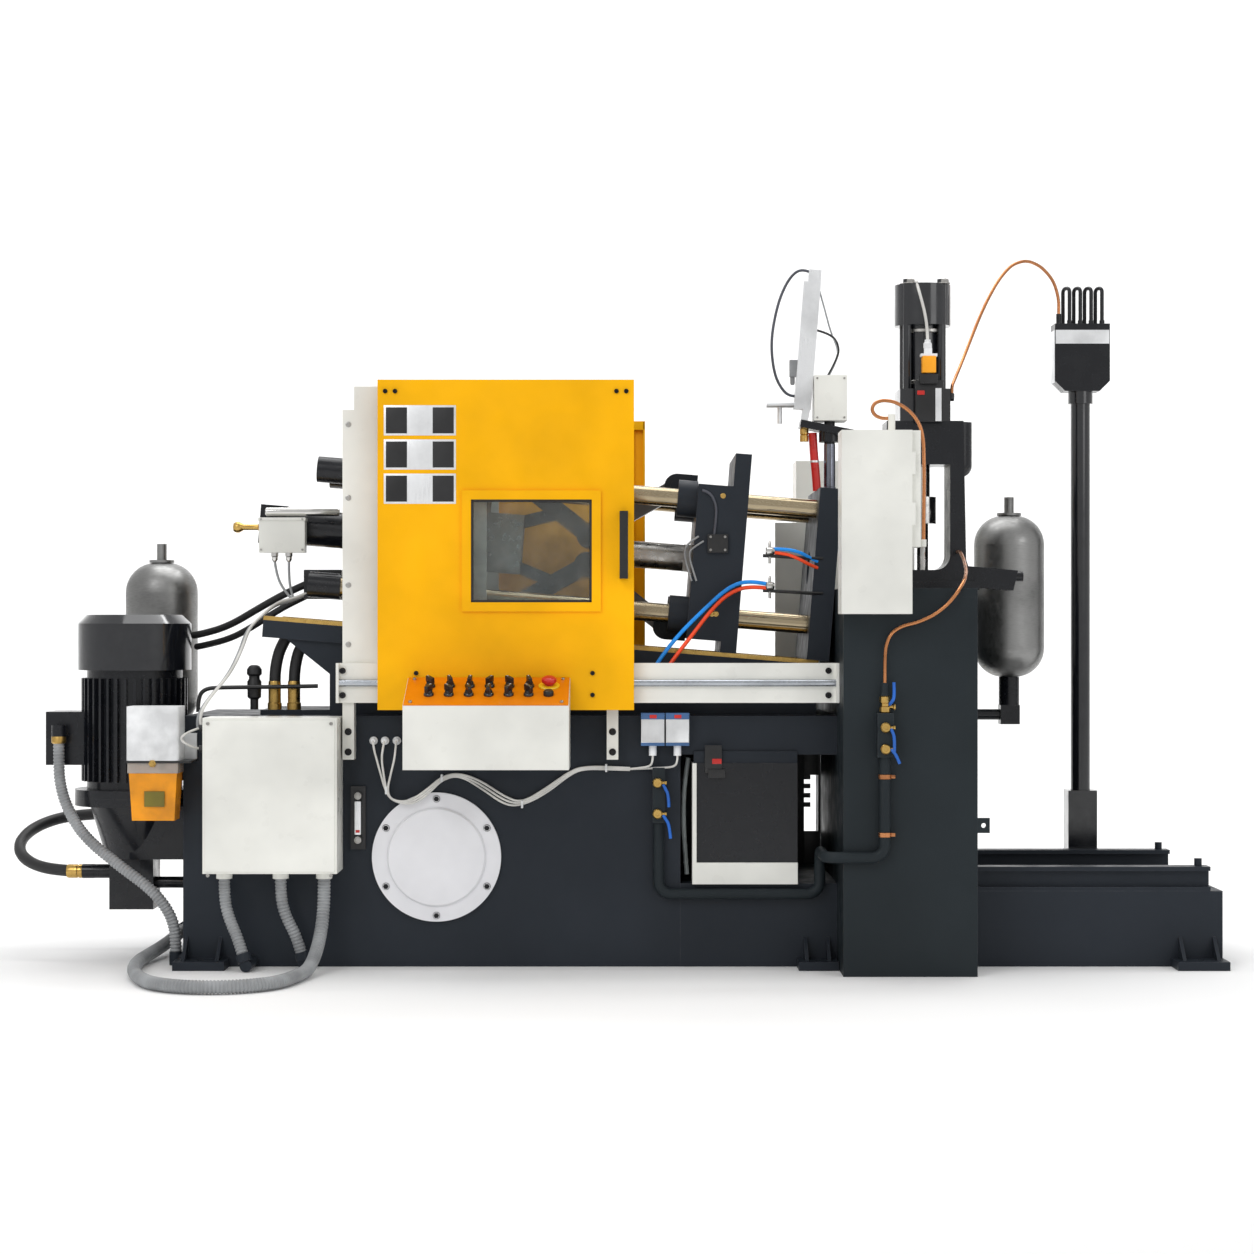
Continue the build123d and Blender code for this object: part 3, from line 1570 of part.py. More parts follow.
def chute_curtain():
    left = chute_left + 2 * chute_thickness
    right = chute_left + chute_width
    front = -half_base - chute_reach + curtain_setback
    return block((left, right), (front, front + curtain_thickness),
                 (bay_floor + chute_tray_height, chute_top))


# Water manifolds and their pipes
def pipe_path(points, radius):
    """A steel pipe with soft corners along a list of points."""
    wire = FilletPolyline(*points, radius=pipe_bend_radius)
    return sweep(Plane(origin=wire @ 0, z_dir=wire % 0) * Circle(radius), path=wire)


def water_manifolds():
    front = -half_depth
    near = -half_base
    gap = pipe_standoff
    half = manifold_width / 2
    right = block((manifold_x - half, manifold_x + half), (front - manifold_depth, front),
                  (manifold_z, manifold_z + manifold_height))
    nipple = bar((manifold_x, front - manifold_depth / 2, manifold_z + manifold_height), "Z",
                 nipple_height, nipple_radius)
    half = left_manifold_width / 2
    left = block((left_manifold_x - half, left_manifold_x + half), (near - manifold_depth, near),
                 (left_manifold_z, left_manifold_z + left_manifold_height))
    y_near = near - gap - pipe_radius
    y_far = front - manifold_depth / 2
    low_run = [(left_manifold_x, y_near, left_manifold_z), (left_manifold_x, y_near, pipe_low_z),
               (pipe_riser_x - pipe_bend_radius, y_near, pipe_low_z),
               (pipe_riser_x - pipe_bend_radius, y_near, pipe_mid_z),
               (pipe_riser_x - pipe_bend_radius, y_far, pipe_mid_z), (manifold_x, y_far, pipe_mid_z),
               (manifold_x, y_far, manifold_z)]
    return Compound([right + nipple + left + pipe_path(low_run, pipe_radius)])


# Conduits, hose and copper tubes
def copper_pipes():
    return Compound([cord("upper copper", upper_copper_route, copper_radius),
                     cord("lower copper", lower_copper_route, copper_radius),
                     cord("copper loop", loop_copper_route, copper_radius)])


PARTS = {
    "copper_pipes": copper_pipes,
    "motor_conduit": lambda: cord("motor conduit", motor_route, motor_conduit_radius),
    "floor_conduit": lambda: cord("floor conduit", floor_route, floor_conduit_radius),
    "box_conduit_left": lambda: cord("left conduit", left_box_route, box_conduit_radius),
    "box_conduit_right": lambda: cord("right conduit", right_box_route, box_conduit_radius),
    "pump_hose": lambda: cord("pump hose", hose_route, hose_radius),
    "base_tank": base_tank,
    "base_bay": base_bay,
    "floor_feet": floor_feet,
    "pillar": pillar,
    "furnace_frame": furnace_frame,
    "furnace_rails": furnace_rails,
    "distributor_pole": distributor_pole,
    "distributor_head": distributor_head,
    "accumulators": accumulators,
    "accumulator_fittings": accumulator_fittings,
    "motor_cowl": motor_cowl,
    "motor_body": motor_body,
    "pump_unit": pump_unit,
    "lubricator_head": lubricator_head,
    "lubricator_tank": lubricator_tank,
    "junction_box": junction_box,
    "control_console": control_console,
    "console_switches": console_switches,
    "round_cover": round_cover,
    "level_gauge": level_gauge,
    "flow_switches": flow_switches,
    "guard_rails": guard_rails,
    "fixed_guards": fixed_guards,
    "guard_door": guard_door,
    "door_window": door_window,
    "door_handle": door_handle,
    "rear_guard": rear_guard,
    "fixed_platen": fixed_platen,
    "moving_platen": moving_platen,
    "ejector_cylinder": ejector_cylinder,
    "rear_platen": rear_platen,
    "tie_bars": tie_bars,
    "tie_bar_nuts": tie_bar_nuts,
    "upper_rear_link": lambda: rear_link(1),
    "lower_rear_link": lambda: rear_link(-1),
    "upper_front_link": lambda: front_link(1),
    "lower_front_link": lambda: front_link(-1),
    "upper_cross_link": lambda: cross_link(1),
    "lower_cross_link": lambda: cross_link(-1),
    "crosshead": crosshead,
    "clamp_cylinder": clamp_cylinder,
    "clamp_bed": clamp_bed,
    "bed_wear_strips": bed_wear_strips,
    "shot_frame": shot_frame,
    "shot_cylinder": shot_cylinder,
    "shot_rod": shot_rod,
    "shot_cabinet": shot_cabinet,
    "cabinet_door": cabinet_door,
    "rear_cabinet": rear_cabinet,
    "spray_post": spray_post,
    "spray_cylinder": spray_cylinder,
    "discharge_chute": discharge_chute,
    "chute_curtain": chute_curtain,
    "water_manifolds": water_manifolds,
}

for name, make in PARTS.items():
    export_step(make(), f"parts/{name}.step")
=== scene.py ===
# The look of a small hot chamber die casting machine, built around its CAD frame. Lengths in metres.
from math import cos, pi, radians, sin

import bmesh
import bpy
from mathutils import Matrix, Vector


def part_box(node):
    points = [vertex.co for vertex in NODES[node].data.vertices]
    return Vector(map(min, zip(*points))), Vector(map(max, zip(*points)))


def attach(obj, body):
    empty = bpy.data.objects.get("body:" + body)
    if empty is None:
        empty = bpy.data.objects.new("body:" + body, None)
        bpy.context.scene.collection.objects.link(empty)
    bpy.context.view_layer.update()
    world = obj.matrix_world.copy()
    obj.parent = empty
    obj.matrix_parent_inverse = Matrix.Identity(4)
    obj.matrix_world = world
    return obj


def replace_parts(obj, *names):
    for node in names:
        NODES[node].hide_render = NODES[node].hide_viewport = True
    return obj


SCENE = bpy.context.scene
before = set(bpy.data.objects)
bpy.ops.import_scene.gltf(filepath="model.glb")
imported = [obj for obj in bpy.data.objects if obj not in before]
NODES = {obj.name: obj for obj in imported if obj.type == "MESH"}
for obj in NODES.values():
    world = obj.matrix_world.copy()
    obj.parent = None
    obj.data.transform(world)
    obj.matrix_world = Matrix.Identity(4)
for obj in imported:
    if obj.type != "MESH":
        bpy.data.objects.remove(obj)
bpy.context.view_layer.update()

# Camera and stage
CAMERA_PLACE = (-0.794, -8.05, 0.98)
CAMERA_LENS = 76.9
CAMERA_SENSOR = 36.0
CAMERA_REACH = 60.0
FLOOR_FRONT = -14.0
FLOOR_BACK = 7.0
FLOOR_HALF_WIDTH = 18.0
BACKDROP_HEIGHT = 12.0
BACKDROP_BEND = 3.0
BEND_STEPS = 12

STAGE_WHITE = (0.98, 0.98, 0.98)
STAGE_ROUGHNESS = 0.95
WORLD_STRENGTH = 0.66

# Each light's name, place, target, size and power
LIGHTS = [("key", (-4.2, -6.5, 5.2), (-0.8, 0.0, 0.9), (3.2, 3.2), 118.0),
          ("fill", (4.6, -5.5, 3.2), (-0.6, 0.0, 0.9), (3.0, 3.0), 44.0),
          ("top", (-0.8, 0.5, 5.6), (-0.8, 0.0, 0.0), (5.0, 3.0), 105.0),
          ("backdrop", (-0.8, 3.5, 8.5), (-0.8, 9.5, 2.5), (8.0, 2.0), 420.0)]

# Paints and their worn edges, linear
CHARCOAL = (0.022, 0.027, 0.035)
CHARCOAL_EDGE = (0.09, 0.09, 0.10)
SLATE = (0.018, 0.024, 0.028)
SLATE_EDGE = (0.10, 0.10, 0.11)
BLACK = (0.008, 0.009, 0.012)
BLACK_EDGE = (0.06, 0.06, 0.06)
CREAM = (0.84, 0.84, 0.79)
CREAM_EDGE = (0.52, 0.50, 0.45)
YELLOW = (1.0, 0.49, 0.0)
YELLOW_EDGE = (0.72, 0.30, 0.01)
ORANGE_PANEL = (0.86, 0.24, 0.0)
ORANGE_EDGE = (0.5, 0.16, 0.01)
COVER_GREY = (0.84, 0.84, 0.87)
COVER_EDGE = (0.45, 0.45, 0.46)

# Metals, linear
BARE_STEEL = (0.42, 0.41, 0.39)
BAR_STEEL = (0.43, 0.355, 0.235)
RAIL_STEEL = (0.50, 0.53, 0.57)
OILED_STEEL = (0.12, 0.12, 0.12)
WORN_STEEL = (0.30, 0.29, 0.27)
BOTTLE_GREY = (0.30, 0.30, 0.295)
BLACKENED_STEEL = (0.035, 0.035, 0.037)
ZINC = (0.45, 0.44, 0.42)
CHROME = (0.72, 0.71, 0.69)
DARK_CHROME = (0.20, 0.21, 0.25)
ALLOY = (0.90, 0.91, 0.92)
BRASS = (0.62, 0.40, 0.12)
COPPER = (0.62, 0.26, 0.11)

# Plastics, rubber and glass, linear
BLACK_PLASTIC = (0.012, 0.012, 0.013)
WHITE_PLASTIC = (0.78, 0.79, 0.80)
RUBBER = (0.014, 0.014, 0.015)
CONDUIT_GREY = (0.30, 0.31, 0.32)
CABLE_GREY = (0.07, 0.075, 0.095)
WIRE_WHITE = (0.68, 0.67, 0.64)
PALE_HOSE = (0.36, 0.40, 0.40)
LEVER_BLUE = (0.01, 0.12, 0.52)
BAND_BLUE = (0.05, 0.13, 0.30)
HOSE_BLUE = (0.0, 0.27, 0.85)
HOSE_RED = (0.95, 0.07, 0.008)
SIGNAL_RED = (0.62, 0.02, 0.015)
STOP_YELLOW = (0.95, 0.60, 0.01)
PLUG_AMBER = (0.95, 0.38, 0.006)
TANK_AMBER = (0.92, 0.34, 0.002)
OLIVE = (0.16, 0.13, 0.01)
GLASS = (0.62, 0.68, 0.68)
CLEAR_BAND = (0.62, 0.60, 0.56)

# Finishes
PEEL_DEPTH = 0.0004
GRAIN_DEPTH = 0.0003
COAT_ROUGHNESS = 0.12
SHADOW_SHARE = 0.45
WIPE_SCALE = 40.0
WIPE_BUMP = 0.02
PLASTIC_IOR = 1.45
EVEN = (1.0, 1.0, 1.0)
ALONG_BAR = (3.0, 40.0, 40.0)
ROUND_BOTTLE = (1.0, 1.0, 6.0)
BRUSHED = (60.0, 60.0, 1.0)


# Camera, light and floor
def make_camera():
    data = bpy.data.cameras.new("camera")
    data.sensor_width = CAMERA_SENSOR
    data.lens = CAMERA_LENS
    data.clip_end = CAMERA_REACH
    camera = bpy.data.objects.new("camera", data)
    camera.location = CAMERA_PLACE
    camera.rotation_euler = (pi / 2, 0.0, 0.0)
    SCENE.collection.objects.link(camera)
    SCENE.camera = camera


def make_light(name, place, target, size, power):
    data = bpy.data.lights.new(name, "AREA")
    data.shape = "RECTANGLE"
    data.size, data.size_y = size
    data.energy = power
    light = bpy.data.objects.new(name, data)
    light.location = place
    aim = Vector(target) - Vector(place)
    light.rotation_euler = aim.to_track_quat("-Z", "Y").to_euler()
    SCENE.collection.objects.link(light)


def make_stage():
    """A pale floor that bends up into a backdrop well behind the machine."""
    profile = [(FLOOR_FRONT, 0.0), (FLOOR_BACK, 0.0)]
    for step in range(1, BEND_STEPS + 1):
        turn = pi / 2 * step / BEND_STEPS
        profile.append((FLOOR_BACK + BACKDROP_BEND * sin(turn), BACKDROP_BEND * (1 - cos(turn))))
    profile.append((FLOOR_BACK + BACKDROP_BEND, BACKDROP_HEIGHT))
    mesh = bmesh.new()
    rows = []
    for side in (-FLOOR_HALF_WIDTH, FLOOR_HALF_WIDTH):
        rows.append([mesh.verts.new((side, y, z)) for y, z in profile])
    for first, second, third, fourth in zip(rows[0], rows[1], rows[1][1:], rows[0][1:]):
        mesh.faces.new((first, second, third, fourth))
    data = bpy.data.meshes.new("stage")
    mesh.to_mesh(data)
    mesh.free()
    data.shade_smooth()
    stage = bpy.data.objects.new("stage", data)
    SCENE.collection.objects.link(stage)
    stage.data.materials.append(plain_material("stage_white", STAGE_WHITE, STAGE_ROUGHNESS))


def make_world():
    world = bpy.data.worlds.new("studio")
    world.use_nodes = True
    background = world.node_tree.nodes["Background"]
    background.inputs["Color"].default_value = (1.0, 1.0, 1.0, 1.0)
    background.inputs["Strength"].default_value = WORLD_STRENGTH
    SCENE.world = world
    SCENE.view_settings.view_transform = "Standard"


# Materials
def plain_material(name, colour, roughness):
    made = bpy.data.materials.new(name)
    made.use_nodes = True
    shader = made.node_tree.nodes["Principled BSDF"]
    shader.inputs["Base Color"].default_value = (*colour, 1.0)
    shader.inputs["Roughness"].default_value = roughness
    return made


def new_group(name, inputs, outputs):
    """A node group with named sockets, and its input and output nodes."""
    tree = bpy.data.node_groups.new(name, "ShaderNodeTree")
    for label, kind, value in inputs:
        socket = tree.interface.new_socket(name=label, in_out="INPUT", socket_type=kind)
        socket.default_value = value
    for label, kind in outputs:
        tree.interface.new_socket(name=label, in_out="OUTPUT", socket_type=kind)
    return tree, tree.nodes.new("NodeGroupInput"), tree.nodes.new("NodeGroupOutput")


def noise(tree, vector, scale, detail):
    node = tree.nodes.new("ShaderNodeTexNoise")
    node.inputs["Detail"].default_value = detail
    tree.links.new(vector, node.inputs["Vector"])
    if isinstance(scale, (int, float)):
        node.inputs["Scale"].default_value = scale
    else:
        tree.links.new(scale, node.inputs["Scale"])
    return node.outputs["Fac"]


def spread(tree, value, low, high, start=0.35, end=0.65):
    """Maps a noise value from its usual range to low and high."""
    node = tree.nodes.new("ShaderNodeMapRange")
    node.inputs["From Min"].default_value = start
    node.inputs["From Max"].default_value = end
    for label, limit in (("To Min", low), ("To Max", high)):
        if isinstance(limit, (int, float)):
            node.inputs[label].default_value = limit
        else:
            tree.links.new(limit, node.inputs[label])
    tree.links.new(value, node.inputs["Value"])
    return node.outputs["Result"]


def arithmetic(tree, operation, first, second):
    node = tree.nodes.new("ShaderNodeMath")
    node.operation = operation
    for socket, value in zip(node.inputs, (first, second)):
        if isinstance(value, (int, float)):
            socket.default_value = value
        else:
            tree.links.new(value, socket)
    return node.outputs["Value"]


def blend_colour(tree, share, first, second):
    node = tree.nodes.new("ShaderNodeMix")
    node.data_type = "RGBA"
    tree.links.new(share, node.inputs["Factor"])
    colour_inputs = [s for s in node.inputs if s.type == "RGBA"]
    tree.links.new(first, colour_inputs[0])
    tree.links.new(second, colour_inputs[1])
    return [s for s in node.outputs if s.type == "RGBA"][0]


def painted_group():
    """Sprayed enamel: orange peel, faint blotches, and worn or dusty edges."""
    tree, start, end = new_group(
        "sprayed_enamel",
        [("Colour", "NodeSocketColor", (0.5, 0.5, 0.5, 1.0)),
         ("Edge Colour", "NodeSocketColor", (0.5, 0.5, 0.5, 1.0)),
         ("Edge Width", "NodeSocketFloat", 0.003), ("Edge Share", "NodeSocketFloat", 0.5),
         ("Roughness", "NodeSocketFloat", 0.3), ("Peel Scale", "NodeSocketFloat", 260.0)],
        [("Colour", "NodeSocketColor"), ("Roughness", "NodeSocketFloat"),
         ("Height", "NodeSocketFloat")])
    place = tree.nodes.new("ShaderNodeTexCoord").outputs["Object"]
    blotch = noise(tree, place, scale=2.4, detail=4.0)
    grime = noise(tree, place, scale=19.0, detail=6.0)
    bevel = tree.nodes.new("ShaderNodeBevel")
    bevel.samples = 4
    tree.links.new(start.outputs["Edge Width"], bevel.inputs["Radius"])
    facing = tree.nodes.new("ShaderNodeVectorMath")
    facing.operation = "DOT_PRODUCT"
    tree.links.new(bevel.outputs["Normal"], facing.inputs[0])
    tree.links.new(tree.nodes.new("ShaderNodeNewGeometry").outputs["Normal"], facing.inputs[1])
    edge = spread(tree, facing.outputs["Value"], low=1.0, high=0.0, start=0.72, end=0.985)
    patches = spread(tree, grime, low=0.2, high=1.0, start=0.42, end=0.6)
    broken = arithmetic(tree, "MULTIPLY", edge, patches)
    edge_share = arithmetic(tree, "MULTIPLY", broken, start.outputs["Edge Share"])
    shade = tree.nodes.new("ShaderNodeHueSaturation")
    tree.links.new(start.outputs["Colour"], shade.inputs["Color"])
    tree.links.new(spread(tree, blotch, low=0.86, high=1.12), shade.inputs["Value"])
    colour = blend_colour(tree, edge_share, shade.outputs["Color"], start.outputs["Edge Colour"])
    tree.links.new(colour, end.inputs["Colour"])
    smears = spread(tree, grime, low=-0.06, high=0.1)
    uneven = arithmetic(tree, "ADD", start.outputs["Roughness"], smears)
    tree.links.new(uneven, end.inputs["Roughness"])
    peel = noise(tree, place, start.outputs["Peel Scale"], detail=2.0)
    tree.links.new(peel, end.inputs["Height"])
    return tree


def metal_group():
    """Turned or ground metal: fine streaks along one axis, oil marks and smudges."""
    tree, start, end = new_group(
        "machined_metal",
        [("Colour", "NodeSocketColor", (0.5, 0.5, 0.5, 1.0)),
         ("Dark Colour", "NodeSocketColor", (0.1, 0.1, 0.1, 1.0)),
         ("Roughness", "NodeSocketFloat", 0.25), ("Stretch", "NodeSocketVector", (1.0, 1.0, 1.0)),
         ("Streak Scale", "NodeSocketFloat", 60.0)],
        [("Colour", "NodeSocketColor"), ("Roughness", "NodeSocketFloat"),
         ("Height", "NodeSocketFloat")])
    place = tree.nodes.new("ShaderNodeTexCoord").outputs["Object"]
    stretched = tree.nodes.new("ShaderNodeVectorMath")
    stretched.operation = "MULTIPLY"
    tree.links.new(place, stretched.inputs[0])
    tree.links.new(start.outputs["Stretch"], stretched.inputs[1])
    streak = noise(tree, stretched.outputs["Vector"], start.outputs["Streak Scale"], detail=3.0)
    smudge = noise(tree, place, scale=7.0, detail=5.0)
    dark = spread(tree, smudge, low=0.0, high=0.55, start=0.45, end=0.72)
    colour = blend_colour(tree, dark, start.outputs["Colour"], start.outputs["Dark Colour"])
    tree.links.new(colour, end.inputs["Colour"])
    lines = spread(tree, streak, low=-0.07, high=0.14)
    rough = arithmetic(tree, "ADD", start.outputs["Roughness"], lines)
    oily = spread(tree, smudge, low=0.0, high=0.12, start=0.45, end=0.72)
    tree.links.new(arithmetic(tree, "ADD", rough, oily), end.inputs["Roughness"])
    tree.links.new(streak, end.inputs["Height"])
    return tree


def grain_group():
    """Moulded plastic or rubber: a fine grain and a dusty variation."""
    tree, start, end = new_group(
        "moulded_grain",
        [("Colour", "NodeSocketColor", (0.5, 0.5, 0.5, 1.0)),
         ("Roughness", "NodeSocketFloat", 0.4), ("Grain Scale", "NodeSocketFloat", 700.0)],
        [("Colour", "NodeSocketColor"), ("Roughness", "NodeSocketFloat"),
         ("Height", "NodeSocketFloat")])
    place = tree.nodes.new("ShaderNodeTexCoord").outputs["Object"]
    dust = noise(tree, place, scale=12.0, detail=5.0)
    shade = tree.nodes.new("ShaderNodeHueSaturation")
    tree.links.new(start.outputs["Colour"], shade.inputs["Color"])
    tree.links.new(spread(tree, dust, low=0.82, high=1.2), shade.inputs["Value"])
    tree.links.new(shade.outputs["Color"], end.inputs["Colour"])
    dull = spread(tree, dust, low=-0.05, high=0.12)
    rough = arithmetic(tree, "ADD", start.outputs["Roughness"], dull)
    tree.links.new(rough, end.inputs["Roughness"])
    fine = noise(tree, place, start.outputs["Grain Scale"], detail=2.0)
    tree.links.new(fine, end.inputs["Height"])
    return tree


def material_with(group, name, values, bump, distance, settings):
    """A Principled material that takes colour, roughness and relief from a group."""
    made = bpy.data.materials.new(name)
    made.use_nodes = True
    tree = made.node_tree
    shader = tree.nodes["Principled BSDF"]
    effect = tree.nodes.new("ShaderNodeGroup")
    effect.node_tree = group
    for label, value in values.items():
        effect.inputs[label].default_value = value
    relief = tree.nodes.new("ShaderNodeBump")
    relief.inputs["Strength"].default_value = bump
    relief.inputs["Distance"].default_value = distance
    tree.links.new(effect.outputs["Height"], relief.inputs["Height"])
    tree.links.new(relief.outputs["Normal"], shader.inputs["Normal"])
    tree.links.new(effect.outputs["Colour"], shader.inputs["Base Color"])
    tree.links.new(effect.outputs["Roughness"], shader.inputs["Roughness"])
    for label, value in settings.items():
        shader.inputs[label].default_value = value
    return made


def enamel(name, colour, roughness, edge_colour=WORN_STEEL, edge_share=0.5, coat=0.1, gloss=0.3,
           bump=0.1):
    return material_with(
        PAINTED, name,
        {"Colour": (*colour, 1.0), "Edge Colour": (*edge_colour, 1.0), "Edge Share": edge_share,
         "Roughness": roughness},
        bump, PEEL_DEPTH,
        {"Coat Weight": coat, "Coat Roughness": COAT_ROUGHNESS, "Specular IOR Level": gloss})


def metal(name, colour, roughness, stretch=EVEN, scale=60.0, bump=0.1):
    dark = tuple(part * SHADOW_SHARE for part in colour)
    return material_with(
        MACHINED, name,
        {"Colour": (*colour, 1.0), "Dark Colour": (*dark, 1.0), "Roughness": roughness,
         "Stretch": stretch, "Streak Scale": scale},
        bump, GRAIN_DEPTH, {"Metallic": 1.0})


def moulded(name, colour, roughness, grain=700.0, bump=0.15):
    return material_with(
        GRAIN, name, {"Colour": (*colour, 1.0), "Roughness": roughness, "Grain Scale": grain},
        bump, GRAIN_DEPTH, {})


def clear_material(name, colour, roughness, transmission):
    """Glass or tinted plastic, with faint wipe marks in its roughness."""
    made = moulded(name, colour, roughness, WIPE_SCALE, WIPE_BUMP)
    shader = made.node_tree.nodes["Principled BSDF"]
    shader.inputs["Transmission Weight"].default_value = transmission
    shader.inputs["IOR"].default_value = PLASTIC_IOR
    return made


PAINTED = painted_group()
MACHINED = metal_group()
GRAIN = grain_group()
MATERIALS = {
    "charcoal": enamel("charcoal_enamel", CHARCOAL, 0.42, CHARCOAL_EDGE, 0.6, coat=0.0, gloss=0.16),
    "slate": enamel("slate_enamel", SLATE, 0.44, SLATE_EDGE, 0.6, coat=0.0, gloss=0.16),
    "black": enamel("black_enamel", BLACK, 0.24, BLACK_EDGE, 0.6, coat=0.15, gloss=0.32),
    "gloss_black": enamel("gloss_black", BLACK, 0.16, BLACK_EDGE, 0.5, coat=0.6, gloss=0.5),
    "cream": enamel("cream_enamel", CREAM, 0.33, CREAM_EDGE, 0.45),
    "yellow": enamel("yellow_enamel", YELLOW, 0.34, YELLOW_EDGE, 0.5, coat=0.0, gloss=0.16, bump=0.08),
    "orange_panel": enamel("orange_panel", ORANGE_PANEL, 0.34, ORANGE_EDGE, 0.4, coat=0.0, gloss=0.2),
    "cover_grey": enamel("cover_grey", COVER_GREY, 0.38, COVER_EDGE, 0.5),
    "steel": metal("ground_steel", BARE_STEEL, 0.30),
    "bar_steel": metal("ground_bar", BAR_STEEL, 0.14, ALONG_BAR, scale=40.0, bump=0.05),
    "rail_steel": metal("rail_steel", RAIL_STEEL, 0.14, ALONG_BAR, scale=40.0, bump=0.05),
    "link_steel": metal("oiled_links", OILED_STEEL, 0.33, EVEN, scale=80.0, bump=0.2),
    "chrome": metal("bright_chrome", CHROME, 0.10, EVEN, scale=30.0, bump=0.02),
    "dark_chrome": metal("dark_chrome", DARK_CHROME, 0.12, EVEN, scale=30.0, bump=0.02),
    "bottle": metal("bottle_grey", BOTTLE_GREY, 0.36, ROUND_BOTTLE, bump=0.2),
    "brass": metal("brass", BRASS, 0.25),
    "copper": metal("copper_tube", COPPER, 0.22, EVEN, scale=50.0),
    "alloy": metal("anodised_alloy", ALLOY, 0.34, BRUSHED, scale=20.0),
    "bolt": metal("zinc_bolts", ZINC, 0.34),
    "dark_bolt": metal("blackened_bolts", BLACKENED_STEEL, 0.38),
    "black_plastic": moulded("black_plastic", BLACK_PLASTIC, 0.35),
    "white_plastic": moulded("white_plastic", WHITE_PLASTIC, 0.42),
    "red_plastic": moulded("red_plastic", SIGNAL_RED, 0.3),
    "blue_plastic": moulded("blue_plastic", BAND_BLUE, 0.3),
    "yellow_plastic": moulded("yellow_plastic", STOP_YELLOW, 0.35),
    "plug_amber": moulded("plug_amber", PLUG_AMBER, 0.25),
    "blue_lever": moulded("blue_lever", LEVER_BLUE, 0.35),
    "rubber": moulded("hose_rubber", RUBBER, 0.5),
    "blue_hose": moulded("blue_hose", HOSE_BLUE, 0.30),
    "red_hose": moulded("red_hose", HOSE_RED, 0.30),
    "pale_hose": moulded("pale_hose", PALE_HOSE, 0.25),
    "conduit": moulded("grey_conduit", CONDUIT_GREY, 0.42, grain=300.0),
    "cable_grey": moulded("cable_grey", CABLE_GREY, 0.34),
    "wire": moulded("white_wire", WIRE_WHITE, 0.45),
    "olive": moulded("olive_plate", OLIVE, 0.4),
    "glass": clear_material("window_glass", GLASS, 0.03, transmission=0.96),
    "clear_band": clear_material("clear_band", CLEAR_BAND, 0.10, transmission=0.5),
    "amber": clear_material("amber_tank", TANK_AMBER, 0.14, transmission=0.15),
}

NODE_LOOKS = {
    "charcoal": "base_tank base_bay floor_feet furnace_frame furnace_rails clamp_bed fixed_platen "
                "rear_platen moving_platen",
    "slate": "pillar water_manifolds",
    "black": "motor_body pump_unit accumulator_fittings tie_bar_nuts shot_frame clamp_cylinder "
             "chute_curtain distributor_head spray_post",
    "gloss_black": "motor_cowl shot_cylinder distributor_pole",
    "cream": "junction_box control_console guard_rails fixed_guards shot_cabinet cabinet_door "
             "rear_cabinet discharge_chute",
    "yellow": "guard_door rear_guard",
    "cover_grey": "round_cover",
    "bottle": "accumulators",
    "bar_steel": "tie_bars",
    "chrome": "shot_rod",
    "steel": "crosshead ejector_cylinder",
    "link_steel": "upper_rear_link lower_rear_link upper_front_link lower_front_link "
                  "upper_cross_link lower_cross_link",
    "brass": "bed_wear_strips",
    "alloy": "spray_cylinder",
    "copper": "copper_pipes",
    "white_plastic": "lubricator_head flow_switches",
    "amber": "lubricator_tank",
    "glass": "door_window",
    "black_plastic": "door_handle console_switches level_gauge",
    "rubber": "pump_hose",
    "conduit": "motor_conduit floor_conduit box_conduit_left box_conduit_right",
}


def dress_nodes():
    """Every shown CAD node gets its own procedural finish."""
    looks = {}
    for look, names in NODE_LOOKS.items():
        for name in names.split():
            looks[name] = look
    for name, node in NODES.items():
        made = MATERIALS[looks[name]]
        if not node.data.materials:
            node.data.materials.append(made)
        for slot in node.material_slots:
            slot.link = "OBJECT"
            slot.material = made


# Small pieces made in code
FRONT = (0, -1, 0)
BACK = (0, 1, 0)
UP = (0, 0, 1)
DOWN = (0, 0, -1)
RIGHT = (1, 0, 0)
LEFT = (-1, 0, 0)
SHARP_ANGLE = 35.0
LATHE_SEGMENTS = 32
WIDE_SEGMENTS = 40
FITTING_SEGMENTS = 24
GLAND_SEGMENTS = 16
SMALL_SEGMENTS = 12
HEX = 6
BOX_SEGMENTS = 2
BOX_PROFILE = 0.7
FINE_EDGE = 0.001
SOFT_EDGE = 0.002
ROUND_EDGE = 0.003
LINE_STEPS = 8
TUBE_RESOLUTION = 4


def finish_piece(name, mesh, look, body="machine"):
    """Turns a bmesh in the row frame into a piece that rides on a body."""
    bmesh.ops.recalc_face_normals(mesh, faces=mesh.faces)
    data = bpy.data.meshes.new(name)
    mesh.to_mesh(data)
    mesh.free()
    piece = bpy.data.objects.new(name, data)
    SCENE.collection.objects.link(piece)
    data.materials.append(MATERIALS[look])
    data.shade_smooth()
    data.set_sharp_from_angle(angle=radians(SHARP_ANGLE))
    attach(piece, body)
    return piece


def frame_of(axis):
    """A matrix whose Z points along an axis."""
    return Vector(axis).to_track_quat("Z", "Y").to_matrix().to_4x4()


def close_rings(mesh, rings):
    """Joins each ring of vertices to the next and caps both ends."""
    count = len(rings[0])
    for low, high in zip(rings, rings[1:]):
        for step in range(count):
            after = (step + 1) % count
            mesh.faces.new((low[step], low[after], high[after], high[step]))
    mesh.faces.new(list(reversed(rings[0])))
    mesh.faces.new(rings[-1])


